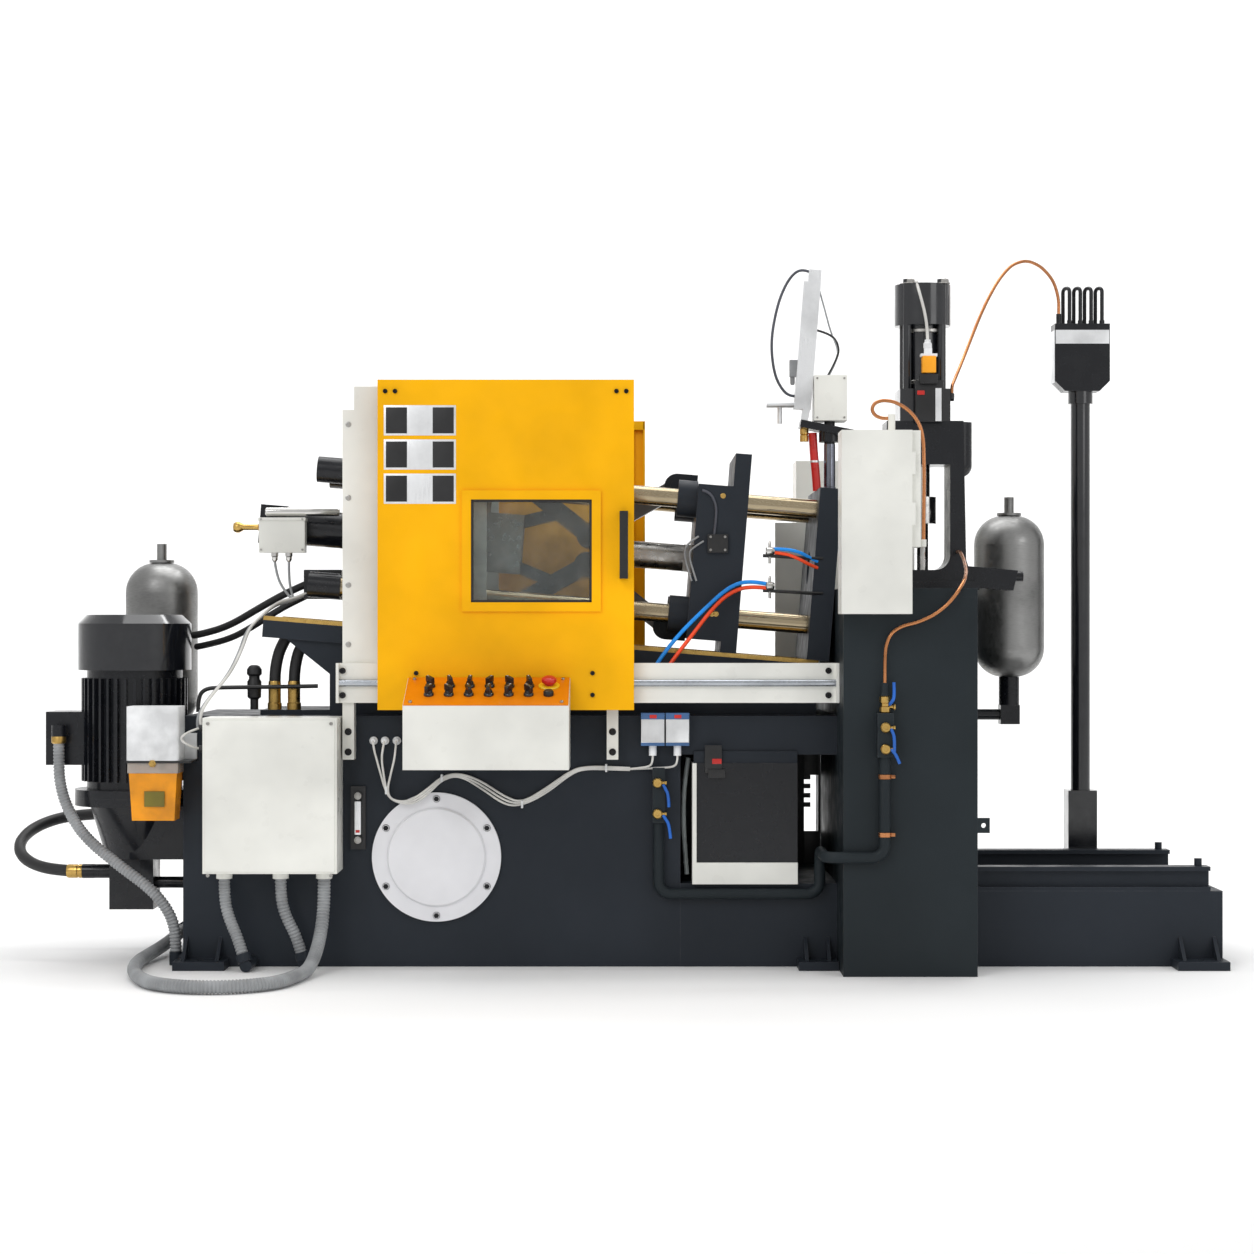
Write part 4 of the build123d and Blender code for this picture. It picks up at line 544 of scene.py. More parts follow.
def lathe(mesh, profile, place, axis, segments=LATHE_SEGMENTS):
    """Turns a list of (radius, height) pairs round an axis from a place."""
    turn = Matrix.Translation(place) @ frame_of(axis)
    rings = []
    for radius, height in profile:
        ring = []
        for step in range(segments):
            angle = 2 * pi * step / segments
            point = Vector((radius * cos(angle), radius * sin(angle), height))
            ring.append(mesh.verts.new(turn @ point))
        rings.append(ring)
    close_rings(mesh, rings)


def soft_box(mesh, low, high, bevel, turn=None):
    """A box between two corners with rounded edges."""
    made = bmesh.ops.create_cube(mesh, size=1.0)
    verts = made["verts"]
    size = Vector(high) - Vector(low)
    middle = (Vector(high) + Vector(low)) / 2
    for vert in verts:
        vert.co = Vector(vert.co[i] * size[i] + middle[i] for i in range(3))
    edges = list(dict.fromkeys(edge for vert in verts for edge in vert.link_edges))
    made = bmesh.ops.bevel(mesh, geom=edges, offset=bevel, segments=BOX_SEGMENTS,
                           profile=BOX_PROFILE, affect="EDGES")
    if turn is not None:
        touched = {vert for face in made["faces"] for vert in face.verts}
        grown = set(touched)
        for vert in touched:
            for edge in vert.link_edges:
                grown.update(edge.verts)
        bmesh.ops.transform(mesh, matrix=turn, verts=list(grown))


def boxes(name, look, shapes, body="machine"):
    """One piece of softened boxes, each given as low corner, high corner and edge radius."""
    mesh = bmesh.new()
    for low, high, bevel in shapes:
        soft_box(mesh, low, high, bevel)
    return finish_piece(name, mesh, look, body)


def turned(name, look, shapes, body="machine"):
    """One piece of turned shapes, each given as profile, place, axis and segments."""
    mesh = bmesh.new()
    for profile, place, axis, segments in shapes:
        lathe(mesh, profile, place, axis, segments)
    return finish_piece(name, mesh, look, body)


# Screws, drawn as shares of the head's radius
WASHER_SHARES = [(1.28, 0.0), (1.28, 0.16), (1.1, 0.22)]
HEX_HEAD_SHARES = [(1.0, 0.0), (1.0, 0.55), (0.8, 0.68)]
SOCKET_HEAD_SHARES = [(1.0, 0.0), (1.0, 0.8), (0.86, 1.0), (0.52, 1.0), (0.46, 0.45)]
SOCKET_SEGMENTS = 20


def scaled(shares, radius):
    return [(across * radius, height * radius) for across, height in shares]


def hex_bolt(mesh, place, axis, radius):
    """A washer and a hexagon head with a chamfered top."""
    lathe(mesh, scaled(WASHER_SHARES, radius), place, axis, FITTING_SEGMENTS)
    seat = Vector(place) + Vector(axis).normalized() * radius * WASHER_SHARES[-1][1]
    lathe(mesh, scaled(HEX_HEAD_SHARES, radius), seat, axis, HEX)


def cap_screw(mesh, place, axis, radius):
    """A socket head screw with a soft edge and a sunk socket."""
    lathe(mesh, scaled(SOCKET_HEAD_SHARES, radius), place, axis, SOCKET_SEGMENTS)


def screws(name, places, axis, radius, look="bolt", body="machine", make=hex_bolt):
    mesh = bmesh.new()
    for place in places:
        make(mesh, place, axis, radius)
    return finish_piece(name, mesh, look, body)


# Cables and tubes
def smooth_line(name, points):
    """Curve data with one smooth line that runs from the first point to the last."""
    data = bpy.data.curves.new(name, "CURVE")
    data.dimensions = "3D"
    data.resolution_u = LINE_STEPS
    spline = data.splines.new("NURBS")
    spline.points.add(len(points) - 1)
    for point, place in zip(spline.points, points):
        point.co = (*place, 1.0)
    spline.order_u = 3
    spline.use_endpoint_u = True
    return data


def wire(name, points, radius, look, body="machine"):
    """A cable or tube along a smooth line."""
    data = smooth_line(name, points)
    data.bevel_depth = radius
    data.bevel_resolution = TUBE_RESOLUTION
    data.use_fill_caps = True
    piece = bpy.data.objects.new(name, data)
    SCENE.collection.objects.link(piece)
    data.materials.append(MATERIALS[look])
    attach(piece, body)
    return piece


def points_along(points, step):
    """Points about one step apart along the smooth line of a route."""
    guide = bpy.data.objects.new("guide", smooth_line("guide", points))
    mesh = bpy.data.meshes.new_from_object(guide)
    line = [vert.co.copy() for vert in mesh.vertices]
    bpy.data.meshes.remove(mesh)
    bpy.data.objects.remove(guide)
    reach = [0.0]
    for first, second in zip(line, line[1:]):
        reach.append(reach[-1] + (second - first).length)
    count = round(reach[-1] / step)
    made = []
    index = 0
    for number in range(count + 1):
        target = reach[-1] * number / count
        while index < len(line) - 2 and reach[index + 1] < target:
            index += 1
        share = (target - reach[index]) / (reach[index + 1] - reach[index])
        made.append(line[index].lerp(line[index + 1], min(share, 1.0)))
    return made


def ridged_tube(mesh, line, radius):
    """A tube along a line, with a ridge every few points, as a spiral conduit has."""
    side = (line[1] - line[0]).orthogonal()
    rings = []
    for number, place in enumerate(line):
        along = line[min(number + 1, len(line) - 1)] - line[max(number - 1, 0)]
        along.normalize()
        side = (side - along * side.dot(along)).normalized()
        across = along.cross(side)
        width = radius * RIDGE_SHARES[number % len(RIDGE_SHARES)]
        ring = []
        for step in range(CONDUIT_SEGMENTS):
            angle = 2 * pi * step / CONDUIT_SEGMENTS
            ring.append(mesh.verts.new(place + (side * cos(angle) + across * sin(angle)) * width))
        rings.append(ring)
    close_rings(mesh, rings)


def middle_of(low, high):
    return (low + high) / 2


# Control console
CONSOLE_TOP_RUN = 0.190
CONSOLE_FRONT_TOP = 0.762
PANEL_MARGIN = 0.0015
PANEL_THICKNESS = 0.003
SWITCH_COLUMNS = 7
SWITCH_PITCH = 0.0557
SWITCH_SHIFT = 0.005
ROW_PITCH = 0.062
CONSOLE_SCREW = 0.005
CONSOLE_SCREW_INSET = (0.020, 0.018)
COLLAR = [(0.0145, 0.0), (0.0145, 0.005), (0.0125, 0.008), (0.0115, 0.0085)]
KNOB = [(0.011, 0.0085), (0.0105, 0.014), (0.0095, 0.0155)]
GRIP_LIFT = 0.012
GRIP_HALF_WIDTH = 0.0055
GRIP_HALF_LENGTH = 0.0145
GRIP_HEIGHT = 0.018
GRIP_EDGE = 0.0018
MARK_HALF_WIDTH = 0.0008
MARK_SPAN = (0.005, 0.0135)
MARK_HEIGHTS = (0.0178, 0.0184)
MARK_EDGE = 0.0002
FIRST_TURN = -28.0
TURN_STEP = 22.0
TURN_PLACES = 4
TURN_SKIP = 3
PUSH_BUTTON = [(0.0145, 0.0), (0.0145, 0.010), (0.012, 0.014), (0.010, 0.0145)]
STOP_RING = [(0.030, 0.0), (0.030, 0.004), (0.027, 0.006), (0.018, 0.006)]
STOP_HEAD = [(0.012, 0.004), (0.012, 0.013), (0.0205, 0.0145), (0.0215, 0.019), (0.020, 0.025),
             (0.014, 0.029), (0.005, 0.0305)]


def console_frame():
    """The console's sloping top: its middle, its unit directions and its half sizes."""
    low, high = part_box("control_console")
    rise = high.z - CONSOLE_FRONT_TOP
    slope = Vector((0.0, CONSOLE_TOP_RUN, rise))
    middle = Vector((middle_of(low.x, high.x), low.y + CONSOLE_TOP_RUN / 2,
                     CONSOLE_FRONT_TOP + rise / 2))
    along = Vector(RIGHT)
    up = slope.normalized()
    return middle, along, up, along.cross(up), (high.x - low.x) / 2, slope.length / 2


def rotary_switch(collars, knobs, marks, turn, place, normal, turn_place):
    """A rotary switch: collar, round knob, raised grip and its white mark."""
    lathe(collars, COLLAR, place, normal)
    lathe(knobs, KNOB, place, normal, FITTING_SEGMENTS)
    grip = turn.copy()
    grip.translation = place + normal * GRIP_LIFT
    grip = grip @ Matrix.Rotation(radians(FIRST_TURN + TURN_STEP * turn_place), 4, "Z")
    soft_box(knobs, (-GRIP_HALF_WIDTH, -GRIP_HALF_LENGTH, 0.0),
             (GRIP_HALF_WIDTH, GRIP_HALF_LENGTH, GRIP_HEIGHT), GRIP_EDGE, grip)
    soft_box(marks, (-MARK_HALF_WIDTH, MARK_SPAN[0], MARK_HEIGHTS[0]),
             (MARK_HALF_WIDTH, MARK_SPAN[1], MARK_HEIGHTS[1]), MARK_EDGE, grip)


def console_look():
    middle, along, up, normal, half_x, half_y = console_frame()
    turn = Matrix((along, up, normal)).transposed().to_4x4()
    turn.translation = middle
    edge_x = half_x - PANEL_MARGIN
    edge_y = half_y - PANEL_MARGIN
    panel = bmesh.new()
    soft_box(panel, (-edge_x, -edge_y, 0.0), (edge_x, edge_y, PANEL_THICKNESS), FINE_EDGE, turn)
    finish_piece("console_panel", panel, "orange_panel")
    collars = bmesh.new()
    knobs = bmesh.new()
    marks = bmesh.new()
    last = SWITCH_COLUMNS - 1
    surface = middle + normal * PANEL_THICKNESS
    for row, side in enumerate((-1, 1)):
        for column in range(SWITCH_COLUMNS):
            x = (column - last / 2) * SWITCH_PITCH + SWITCH_SHIFT
            place = surface + along * x + up * side * ROW_PITCH / 2
            if column < last:
                turn_place = (row * SWITCH_COLUMNS + column * TURN_SKIP) % TURN_PLACES
                rotary_switch(collars, knobs, marks, turn, place, normal, turn_place)
            elif side < 0:
                lathe(knobs, PUSH_BUTTON, place, normal)
            else:
                stop = place
    finish_piece("switch_collars", collars, "gloss_black")
    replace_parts(finish_piece("switch_knobs", knobs, "black_plastic"), "console_switches")
    finish_piece("switch_marks", marks, "white_plastic")
    turned("stop_ring", "yellow_plastic", [(STOP_RING, stop, normal, LATHE_SEGMENTS)])
    turned("stop_head", "red_plastic", [(STOP_HEAD, stop, normal, WIDE_SEGMENTS)])
    reach_x = half_x - CONSOLE_SCREW_INSET[0]
    reach_y = half_y - CONSOLE_SCREW_INSET[1]
    places = [surface + along * side_x * reach_x + up * side_y * reach_y
              for side_x in (-1, 1) for side_y in (-1, 1)]
    screws("console_screws", places, normal, CONSOLE_SCREW, make=cap_screw)


# Guard door
WINDOW_FRAME_DEPTH = 0.009
DOOR_SCREW = 0.0065
DOOR_TOP_INSET = 0.033
DOOR_SIDE_INSET = 0.022
DOOR_SCREW_PITCH = 0.028
HANGER_SCREWS_Z = (0.105, 0.043)
HANGER_LEFT = 0.110
HANGER_RIGHT = 0.118
GASKET_LAP = 0.012
GASKET_RIM = 0.007
GASKET_DEPTHS = (0.002, 0.012)


def door_look():
    low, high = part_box("guard_door")
    face = low.y + WINDOW_FRAME_DEPTH
    left = low.x + DOOR_SIDE_INSET
    right = high.x - DOOR_SIDE_INSET
    tops = [left, left + DOOR_SCREW_PITCH, right - DOOR_SCREW_PITCH, right]
    places = [(x, face, high.z - DOOR_TOP_INSET) for x in tops]
    for x in (low.x + HANGER_LEFT, high.x - HANGER_RIGHT):
        places += [(x, face, low.z + z) for z in HANGER_SCREWS_Z]
    screws("door_screws", places, FRONT, DOOR_SCREW, "dark_bolt", "guard_door", cap_screw)
    plates_look(low, high, face)
    pane_low, pane_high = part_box("door_window")
    x0 = pane_low.x + GASKET_LAP
    x1 = pane_high.x - GASKET_LAP
    z0 = pane_low.z + GASKET_LAP
    z1 = pane_high.z - GASKET_LAP
    strips = [(x0, x1, z0, z0 + GASKET_RIM), (x0, x1, z1 - GASKET_RIM, z1),
              (x0, x0 + GASKET_RIM, z0, z1), (x1 - GASKET_RIM, x1, z0, z1)]
    front, back = [low.y + depth for depth in GASKET_DEPTHS]
    shapes = [((left, front, bottom), (right, back, top), SOFT_EDGE)
              for left, right, bottom, top in strips]
    boxes("window_gasket", "black_plastic", shapes, "guard_door")


# Bare plates on the door
PLATE_LEFT = 0.018
PLATE_TOP = 0.073
PLATE_COUNT = 3
PLATE_PITCH = 0.097
PLATE_WIDTH = 0.205
PLATE_HEIGHT = 0.086
PLATE_THICKNESS = 0.0012
PLATE_EDGE = 0.0004
FIELD_MARGIN = 0.006
FIELD_WIDTH = 0.060
FIELD_DEPTHS = (0.002, 0.001)
FIELD_EDGE = 0.0003


def plates_look(low, high, face):
    """Three bare plates in plain metal, each with two black fields."""
    left = low.x + PLATE_LEFT
    right = left + PLATE_WIDTH
    front, back = [face - depth for depth in FIELD_DEPTHS]
    plates = []
    fields = []
    for row in range(PLATE_COUNT):
        top = high.z - PLATE_TOP - row * PLATE_PITCH
        bottom = top - PLATE_HEIGHT
        plates.append(((left, face - PLATE_THICKNESS, bottom), (right, face, top), PLATE_EDGE))
        for x in (left + FIELD_MARGIN, right - FIELD_MARGIN - FIELD_WIDTH):
            fields.append(((x, front, bottom + FIELD_MARGIN),
                           (x + FIELD_WIDTH, back, top - FIELD_MARGIN), FIELD_EDGE))
    boxes("notice_plates", "alloy", plates, "guard_door")
    boxes("notice_fields", "black_plastic", fields, "guard_door")


# Guard rail, posts, rear guard and junction box
RAIL_FACE = -0.390
RAIL_SCREW = 0.009
RAIL_SCREWS_Z = (0.785, 0.855)
RAIL_LEFT_INSET = 0.018
RAIL_RIGHT_INSET = 0.030
GUIDE_RADIUS = 0.0103
GUIDE_INSET = 0.009
GUIDE_Y = -0.397
GUIDE_Z = 0.820
POST_FACE = -0.378
POSTS_X = (-1.5925, -0.8355)
POST_SCREWS_Z = (0.622, 0.680)
POST_SCREW = 0.0080
GUARD_SCREW = 0.0065
GUARD_SCREW_INSET = 0.017
GUARD_SCREWS_Z = (0.93, 1.10, 1.35, 1.56)


def rail_look():
    low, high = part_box("guard_rails")
    places = [(x, RAIL_FACE, z) for x in (low.x + RAIL_LEFT_INSET, high.x - RAIL_RIGHT_INSET)
              for z in RAIL_SCREWS_Z]
    screws("rail_screws", places, FRONT, RAIL_SCREW, "dark_bolt", make=cap_screw)
    length = high.x - low.x - 2 * GUIDE_INSET
    turned("guide_bar_sleeve", "rail_steel",
           [([(GUIDE_RADIUS, 0.0), (GUIDE_RADIUS, length)],
             (low.x + GUIDE_INSET, GUIDE_Y, GUIDE_Z), RIGHT, LATHE_SEGMENTS)])
    places = [(x, POST_FACE, z) for x in POSTS_X for z in POST_SCREWS_Z]
    screws("post_screws", places, FRONT, POST_SCREW, "dark_bolt")
    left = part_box("fixed_guards")[0].x + GUARD_SCREW_INSET
    screws("guard_screws", [(left, POST_FACE, z) for z in GUARD_SCREWS_Z], FRONT, GUARD_SCREW)


REAR_EDGE_WIDTH = 0.037
REAR_EDGE_TOP = 1.630
REAR_EDGE_DEPTH = 0.034
REAR_PANEL_DEPTH = 0.012
REAR_HEADER = 0.028
REAR_RIM = 0.006
REAR_LAP = 0.001


def rear_guard_look():
    """The rear guard's folded edge, which shows past the front door."""
    low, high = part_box("rear_guard")
    start = high.x - REAR_LAP
    end = high.x + REAR_EDGE_WIDTH
    front = high.y - REAR_EDGE_DEPTH
    corner = (end, high.y - REAR_LAP, REAR_EDGE_TOP)
    boxes("rear_guard_edge", "yellow",
          [((start, high.y - REAR_PANEL_DEPTH, low.z), corner, FINE_EDGE),
           ((start, front, REAR_EDGE_TOP - REAR_HEADER), corner, SOFT_EDGE),
           ((end - REAR_RIM, front, low.z), corner, FINE_EDGE)])


BOX_SCREW_INSET = 0.016
BOX_SCREW = 0.005
SIDE_GLAND = [(0.014, 0.0), (0.014, 0.008), (0.010, 0.010), (0.010, 0.022)]
SIDE_GLAND_DROPS = (0.031, 0.091)


def box_look():
    low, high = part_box("junction_box")
    places = [(x, low.y, z) for x in (low.x + BOX_SCREW_INSET, high.x - BOX_SCREW_INSET)
              for z in (low.z + BOX_SCREW_INSET, high.z - BOX_SCREW_INSET)]
    screws("box_screws", places, FRONT, BOX_SCREW, make=cap_screw)
    middle = middle_of(low.y, high.y)
    turned("box_side_glands", "black_plastic",
           [(SIDE_GLAND, (low.x, middle, high.z - drop), LEFT, SMALL_SEGMENTS)
            for drop in SIDE_GLAND_DROPS])


# Round cover and level gauge
COVER_FACE = -0.332
COVER_BOLTS = 6
COVER_FIRST_BOLT = 90
COVER_BOLT_CIRCLE = 0.168
COVER_BOLT = 0.0082


def cover_look():
    low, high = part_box("round_cover")
    middle = (middle_of(low.x, high.x), middle_of(low.z, high.z))
    places = []
    for step in range(COVER_BOLTS):
        angle = radians(COVER_FIRST_BOLT + 360 / COVER_BOLTS * step)
        places.append((middle[0] + COVER_BOLT_CIRCLE * cos(angle), COVER_FACE,
                       middle[1] + COVER_BOLT_CIRCLE * sin(angle)))
    screws("cover_bolts", places, FRONT, COVER_BOLT, "dark_bolt")


GAUGE_BACK = 0.009
GAUGE_HALF_WIDTH = 0.009
GAUGE_HALF_HEIGHT = 0.048
GAUGE_PROUD = 0.002
LEVEL_HALF_WIDTH = 0.006
LEVEL_DROPS = (0.042, 0.034)
LEVEL_DEPTHS = (0.003, 0.001)
GAUGE_BOLT = 0.008
GAUGE_BOLT_REACH = 0.0635


def gauge_look():
    low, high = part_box("level_gauge")
    x = middle_of(low.x, high.x)
    z = middle_of(low.z, high.z)
    boxes("gauge_window", "alloy",
          [((x - GAUGE_HALF_WIDTH, low.y - GAUGE_PROUD, z - GAUGE_HALF_HEIGHT),
            (x + GAUGE_HALF_WIDTH, high.y - GAUGE_BACK, z + GAUGE_HALF_HEIGHT), SOFT_EDGE)])
    boxes("gauge_level", "red_plastic",
          [((x - LEVEL_HALF_WIDTH, low.y - LEVEL_DEPTHS[0], z - LEVEL_DROPS[0]),
            (x + LEVEL_HALF_WIDTH, low.y - LEVEL_DEPTHS[1], z - LEVEL_DROPS[1]), FINE_EDGE)])
    places = [(x, low.y, z - GAUGE_BOLT_REACH), (x, low.y, z + GAUGE_BOLT_REACH)]
    screws("gauge_bolts", places, FRONT, GAUGE_BOLT)


# Flow switches
SWITCH_WIDTH = 0.066
BAND_SIDE = 0.0008
BAND_FRONT = 0.0015
TOP_BAND = 0.017
LOW_BAND = (0.639, 0.648)
LABEL_INSET = 0.002
LABEL_FRONT = 0.0012
LABEL_LOW = 0.650
LABEL_TOP_DROP = 0.019
FLAG_SPAN = (0.024, 0.044)
FLAG_DROPS = (0.014, 0.004)
FLAG_DEPTHS = (0.0028, 0.001)
THIN_EDGE = 0.0005


def switch_look():
    low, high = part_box("flow_switches")
    face = low.y
    top = high.z
    bands = []
    labels = []
    flags = []
    for left in (low.x, high.x - SWITCH_WIDTH):
        right = left + SWITCH_WIDTH
        for z_low, z_high in ((top - TOP_BAND, top + BAND_SIDE), LOW_BAND):
            bands.append(((left - BAND_SIDE, face - BAND_FRONT, z_low),
                          (right + BAND_SIDE, high.y, z_high), FINE_EDGE))
        labels.append(((left + LABEL_INSET, face - LABEL_FRONT, LABEL_LOW),
                       (right - LABEL_INSET, face, top - LABEL_TOP_DROP), THIN_EDGE))
        flags.append(((left + FLAG_SPAN[0], face - FLAG_DEPTHS[0], top - FLAG_DROPS[0]),
                      (left + FLAG_SPAN[1], face - FLAG_DEPTHS[1], top - FLAG_DROPS[1]), THIN_EDGE))
    boxes("flow_bands", "blue_plastic", bands)
    boxes("flow_panels", "alloy", labels)
    boxes("flow_marks", "red_plastic", flags)


# Valves on the water manifolds
LEFT_VALVE_X = -0.7065
RIGHT_VALVE_X = -0.074
LEFT_VALVE_FACE = -0.365
LEFT_VALVES_Z = (0.533, 0.444)
RIGHT_VALVES_Z = (0.700, 0.640)
MANIFOLD_RADIUS = 0.0225
VALVE_END = [(0.0125, 0.0), (0.0145, 0.002), (0.0145, 0.009), (0.0115, 0.013), (0.0065, 0.013),
             (0.0065, 0.009)]
VALVE_STEM = [(0.0045, 0.0), (0.0045, 0.010), (0.0060, 0.011), (0.0060, 0.016)]
VALVE_STEM_OFFSET = (0.010, -0.006, 0.0)
TOP_VALVE = [(0.013, 0.0), (0.015, 0.002), (0.015, 0.016), (0.012, 0.018), (0.012, 0.026),
             (0.0155, 0.028), (0.0155, 0.044), (0.010, 0.048)]
TOP_VALVE_Z = 0.741
TOP_VALVE_SIDES = 8
TOP_STEM = [(0.006, 0.0), (0.006, 0.010), (0.009, 0.012), (0.009, 0.017)]
TOP_STEM_OFFSET = (0.012, 0.016)
LEVER_RADIUS = 0.0046
LEVER_ROUTES = [
    [(-0.690, -0.372, 0.528), (-0.684, -0.375, 0.517), (-0.675, -0.376, 0.498), (-0.674, -0.374, 0.464)],
    [(-0.690, -0.372, 0.440), (-0.684, -0.375, 0.431), (-0.673, -0.376, 0.414), (-0.669, -0.374, 0.374)],
    [(-0.062, -0.575, 0.764), (-0.056, -0.590, 0.770), (-0.049, -0.594, 0.788), (-0.051, -0.592, 0.826)],
    [(-0.060, -0.601, 0.697), (-0.054, -0.605, 0.686), (-0.050, -0.606, 0.664), (-0.051, -0.604, 0.628)],
    [(-0.060, -0.601, 0.640), (-0.052, -0.606, 0.632), (-0.044, -0.606, 0.620), (-0.036, -0.604, 0.600)]]
CLIP_BAND = [(0.0168, -0.007), (0.0185, -0.006), (0.0185, 0.006), (0.0168, 0.007)]
CLIP_SCREW = [(0.0055, 0.0), (0.0055, 0.012), (0.0035, 0.014)]
CLIP_SCREW_OFFSET = 0.016
CLIP_Y = -0.5725
CLIPS_Z = (0.562, 0.400)


def valve_look():
    right_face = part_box("water_manifolds")[0].y
    places = [(LEFT_VALVE_X, LEFT_VALVE_FACE, z) for z in LEFT_VALVES_Z]
    places += [(RIGHT_VALVE_X, right_face, z) for z in RIGHT_VALVES_Z]
    shapes = []
    for place in places:
        stem = Vector(place) + Vector(VALVE_STEM_OFFSET)
        shapes += [(VALVE_END, place, FRONT, FITTING_SEGMENTS), (VALVE_STEM, stem, RIGHT, SMALL_SEGMENTS)]
    axis_y = right_face + MANIFOLD_RADIUS
    stem_x = RIGHT_VALVE_X + TOP_STEM_OFFSET[0]
    shapes += [(TOP_VALVE, (RIGHT_VALVE_X, axis_y, TOP_VALVE_Z), UP, TOP_VALVE_SIDES),
               (TOP_STEM, (stem_x, axis_y, TOP_VALVE_Z + TOP_STEM_OFFSET[1]), RIGHT, SMALL_SEGMENTS)]
    turned("valve_bodies", "brass", shapes)
    for number, route in enumerate(LEVER_ROUTES):
        wire("valve_lever_" + str(number), route, LEVER_RADIUS, "blue_lever")
    shapes = []
    for z in CLIPS_Z:
        shapes += [(CLIP_BAND, (RIGHT_VALVE_X, CLIP_Y, z), UP, FITTING_SEGMENTS),
                   (CLIP_SCREW, (RIGHT_VALVE_X + CLIP_SCREW_OFFSET, CLIP_Y, z), RIGHT, HEX)]
    turned("hose_clips", "copper", shapes)


# Shot cylinder
SHOT_NUTS = 4
SHOT_FIRST_NUT = 45
SHOT_NUT = 0.016
SHOT_NUT_CIRCLE = 0.072
SHOT_NUT_DROP = 0.013
SHOT_BAND = [(0.060, -0.006), (0.062, -0.004), (0.062, 0.004), (0.060, 0.006)]
SHOT_BANDS_Z = (1.712, 1.866)
SENSOR_BRACKET = [((0.061, -0.110, 1.588), (0.144, -0.084, 1.712), 0.003),
                  ((0.073, -0.126, 1.700), (0.126, -0.096, 1.730), 0.003)]
SHOT_SCALE = [((0.120, -0.113, 1.590), (0.138, -0.109, 1.688), 0.001)]
SHOT_TAG = [((0.066, -0.114, 1.668), (0.088, -0.109, 1.681), 0.002)]
SHOT_PLUG = [((0.079, -0.134, 1.732), (0.120, -0.100, 1.782), 0.004)]
PLUG_CAP = [((0.075, -0.131, 1.780), (0.124, -0.099, 1.789), 0.002),
            ((0.086, -0.126, 1.789), (0.109, -0.104, 1.806), 0.003)]
PLUG_GLAND = [(0.0125, 0.0), (0.0125, 0.014), (0.009, 0.018), (0.009, 0.025)]
PLUG_GLAND_PLACE = (0.0965, -0.115, 1.806)
SHOT_CABLE_RADIUS = 0.0045
SHOT_CABLE = [(0.0965, -0.115, 1.828), (0.0955, -0.115, 1.862), (0.090, -0.112, 1.905),
              (0.080, -0.104, 1.950), (0.072, -0.090, 1.985), (0.068, -0.070, 2.010)]


def shot_look():
    low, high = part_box("shot_cylinder")
    x = middle_of(low.x, high.x)
    y = middle_of(low.y, high.y)
    nuts = []
    for step in range(SHOT_NUTS):
        angle = radians(SHOT_FIRST_NUT + 360 / SHOT_NUTS * step)
        nuts.append((x + SHOT_NUT_CIRCLE * cos(angle), y + SHOT_NUT_CIRCLE * sin(angle),
                     high.z - SHOT_NUT_DROP))
    screws("shot_nuts", nuts, UP, SHOT_NUT)
    turned("shot_bands", "steel", [(SHOT_BAND, (x, y, z), UP, WIDE_SEGMENTS) for z in SHOT_BANDS_Z])
    boxes("shot_sensor_bracket", "black_plastic", SENSOR_BRACKET)
    boxes("shot_scale", "alloy", SHOT_SCALE)
    boxes("shot_red_tag", "red_plastic", SHOT_TAG)
    boxes("shot_plug", "plug_amber", SHOT_PLUG)
    cap = bmesh.new()
    for low_corner, high_corner, edge in PLUG_CAP:
        soft_box(cap, low_corner, high_corner, edge)
    lathe(cap, PLUG_GLAND, PLUG_GLAND_PLACE, UP, SMALL_SEGMENTS)
    finish_piece("shot_plug_cap", cap, "white_plastic")
    wire("shot_cable", SHOT_CABLE, SHOT_CABLE_RADIUS, "wire")


# Sensor box, its cables and the oil hoses at the clamp cylinder
SENSOR_BOX = [((-1.883, -0.128, 1.200), (-1.747, -0.078, 1.294), 0.002),
              ((-1.885, -0.130, 1.294), (-1.745, -0.076, 1.304), 0.002)]
SENSOR_SCREWS_X = (-1.876, -1.754)
SENSOR_SCREWS_Z = (1.209, 1.299)
SMALL_SCREW = 0.003
SENSOR_GLAND = [(0.011, 0.0), (0.011, 0.010), (0.009, 0.012), (0.009, 0.020), (0.005, 0.026)]
SENSOR_GLANDS_X = (-1.839, -1.797)
SENSOR_WIRE_RADIUS = 0.0038
SENSOR_WIRES = {
    "sensor_wire_left": [(-1.839, -0.103, 1.176), (-1.833, -0.103, 1.128), (-1.805, -0.110, 1.081),
                         (-1.783, -0.120, 1.060)],
    "sensor_wire_right": [(-1.797, -0.103, 1.176), (-1.797, -0.103, 1.125), (-1.790, -0.110, 1.087),
                          (-1.780, -0.120, 1.060)]}
BUNDLE_RADIUS = 0.0045
BUNDLE_SHIFTS = ((-0.004, "conduit"), (0.004, "wire"))
BUNDLE_ROUTE = [(-1.745, -0.110, 1.078), (-1.783, -0.120, 1.060), (-1.829, -0.130, 1.051),
                (-1.873, -0.150, 1.012), (-1.905, -0.200, 0.974), (-1.919, -0.260, 0.907),
                (-1.943, -0.320, 0.842), (-1.991, -0.370, 0.778), (-2.015, -0.390, 0.737),
                (-2.018, -0.402, 0.700), (-2.012, -0.402, 0.692)]
LUBRICATOR_WIRE_RADIUS = 0.0035
LUBRICATOR_WIRE = [(-2.012, -0.402, 0.692), (-2.035, -0.440, 0.685), (-2.066, -0.447, 0.664),
                   (-2.040, -0.440, 0.642), (-2.012, -0.402, 0.632)]
UPPER_HOSE_RADIUS = 0.011
UPPER_HOSE = [(-2.120, 0.150, 0.955), (-2.093, 0.100, 0.957), (-2.000, 0.060, 0.982),
              (-1.894, 0.000, 1.040), (-1.810, -0.050, 1.083), (-1.740, -0.080, 1.111)]
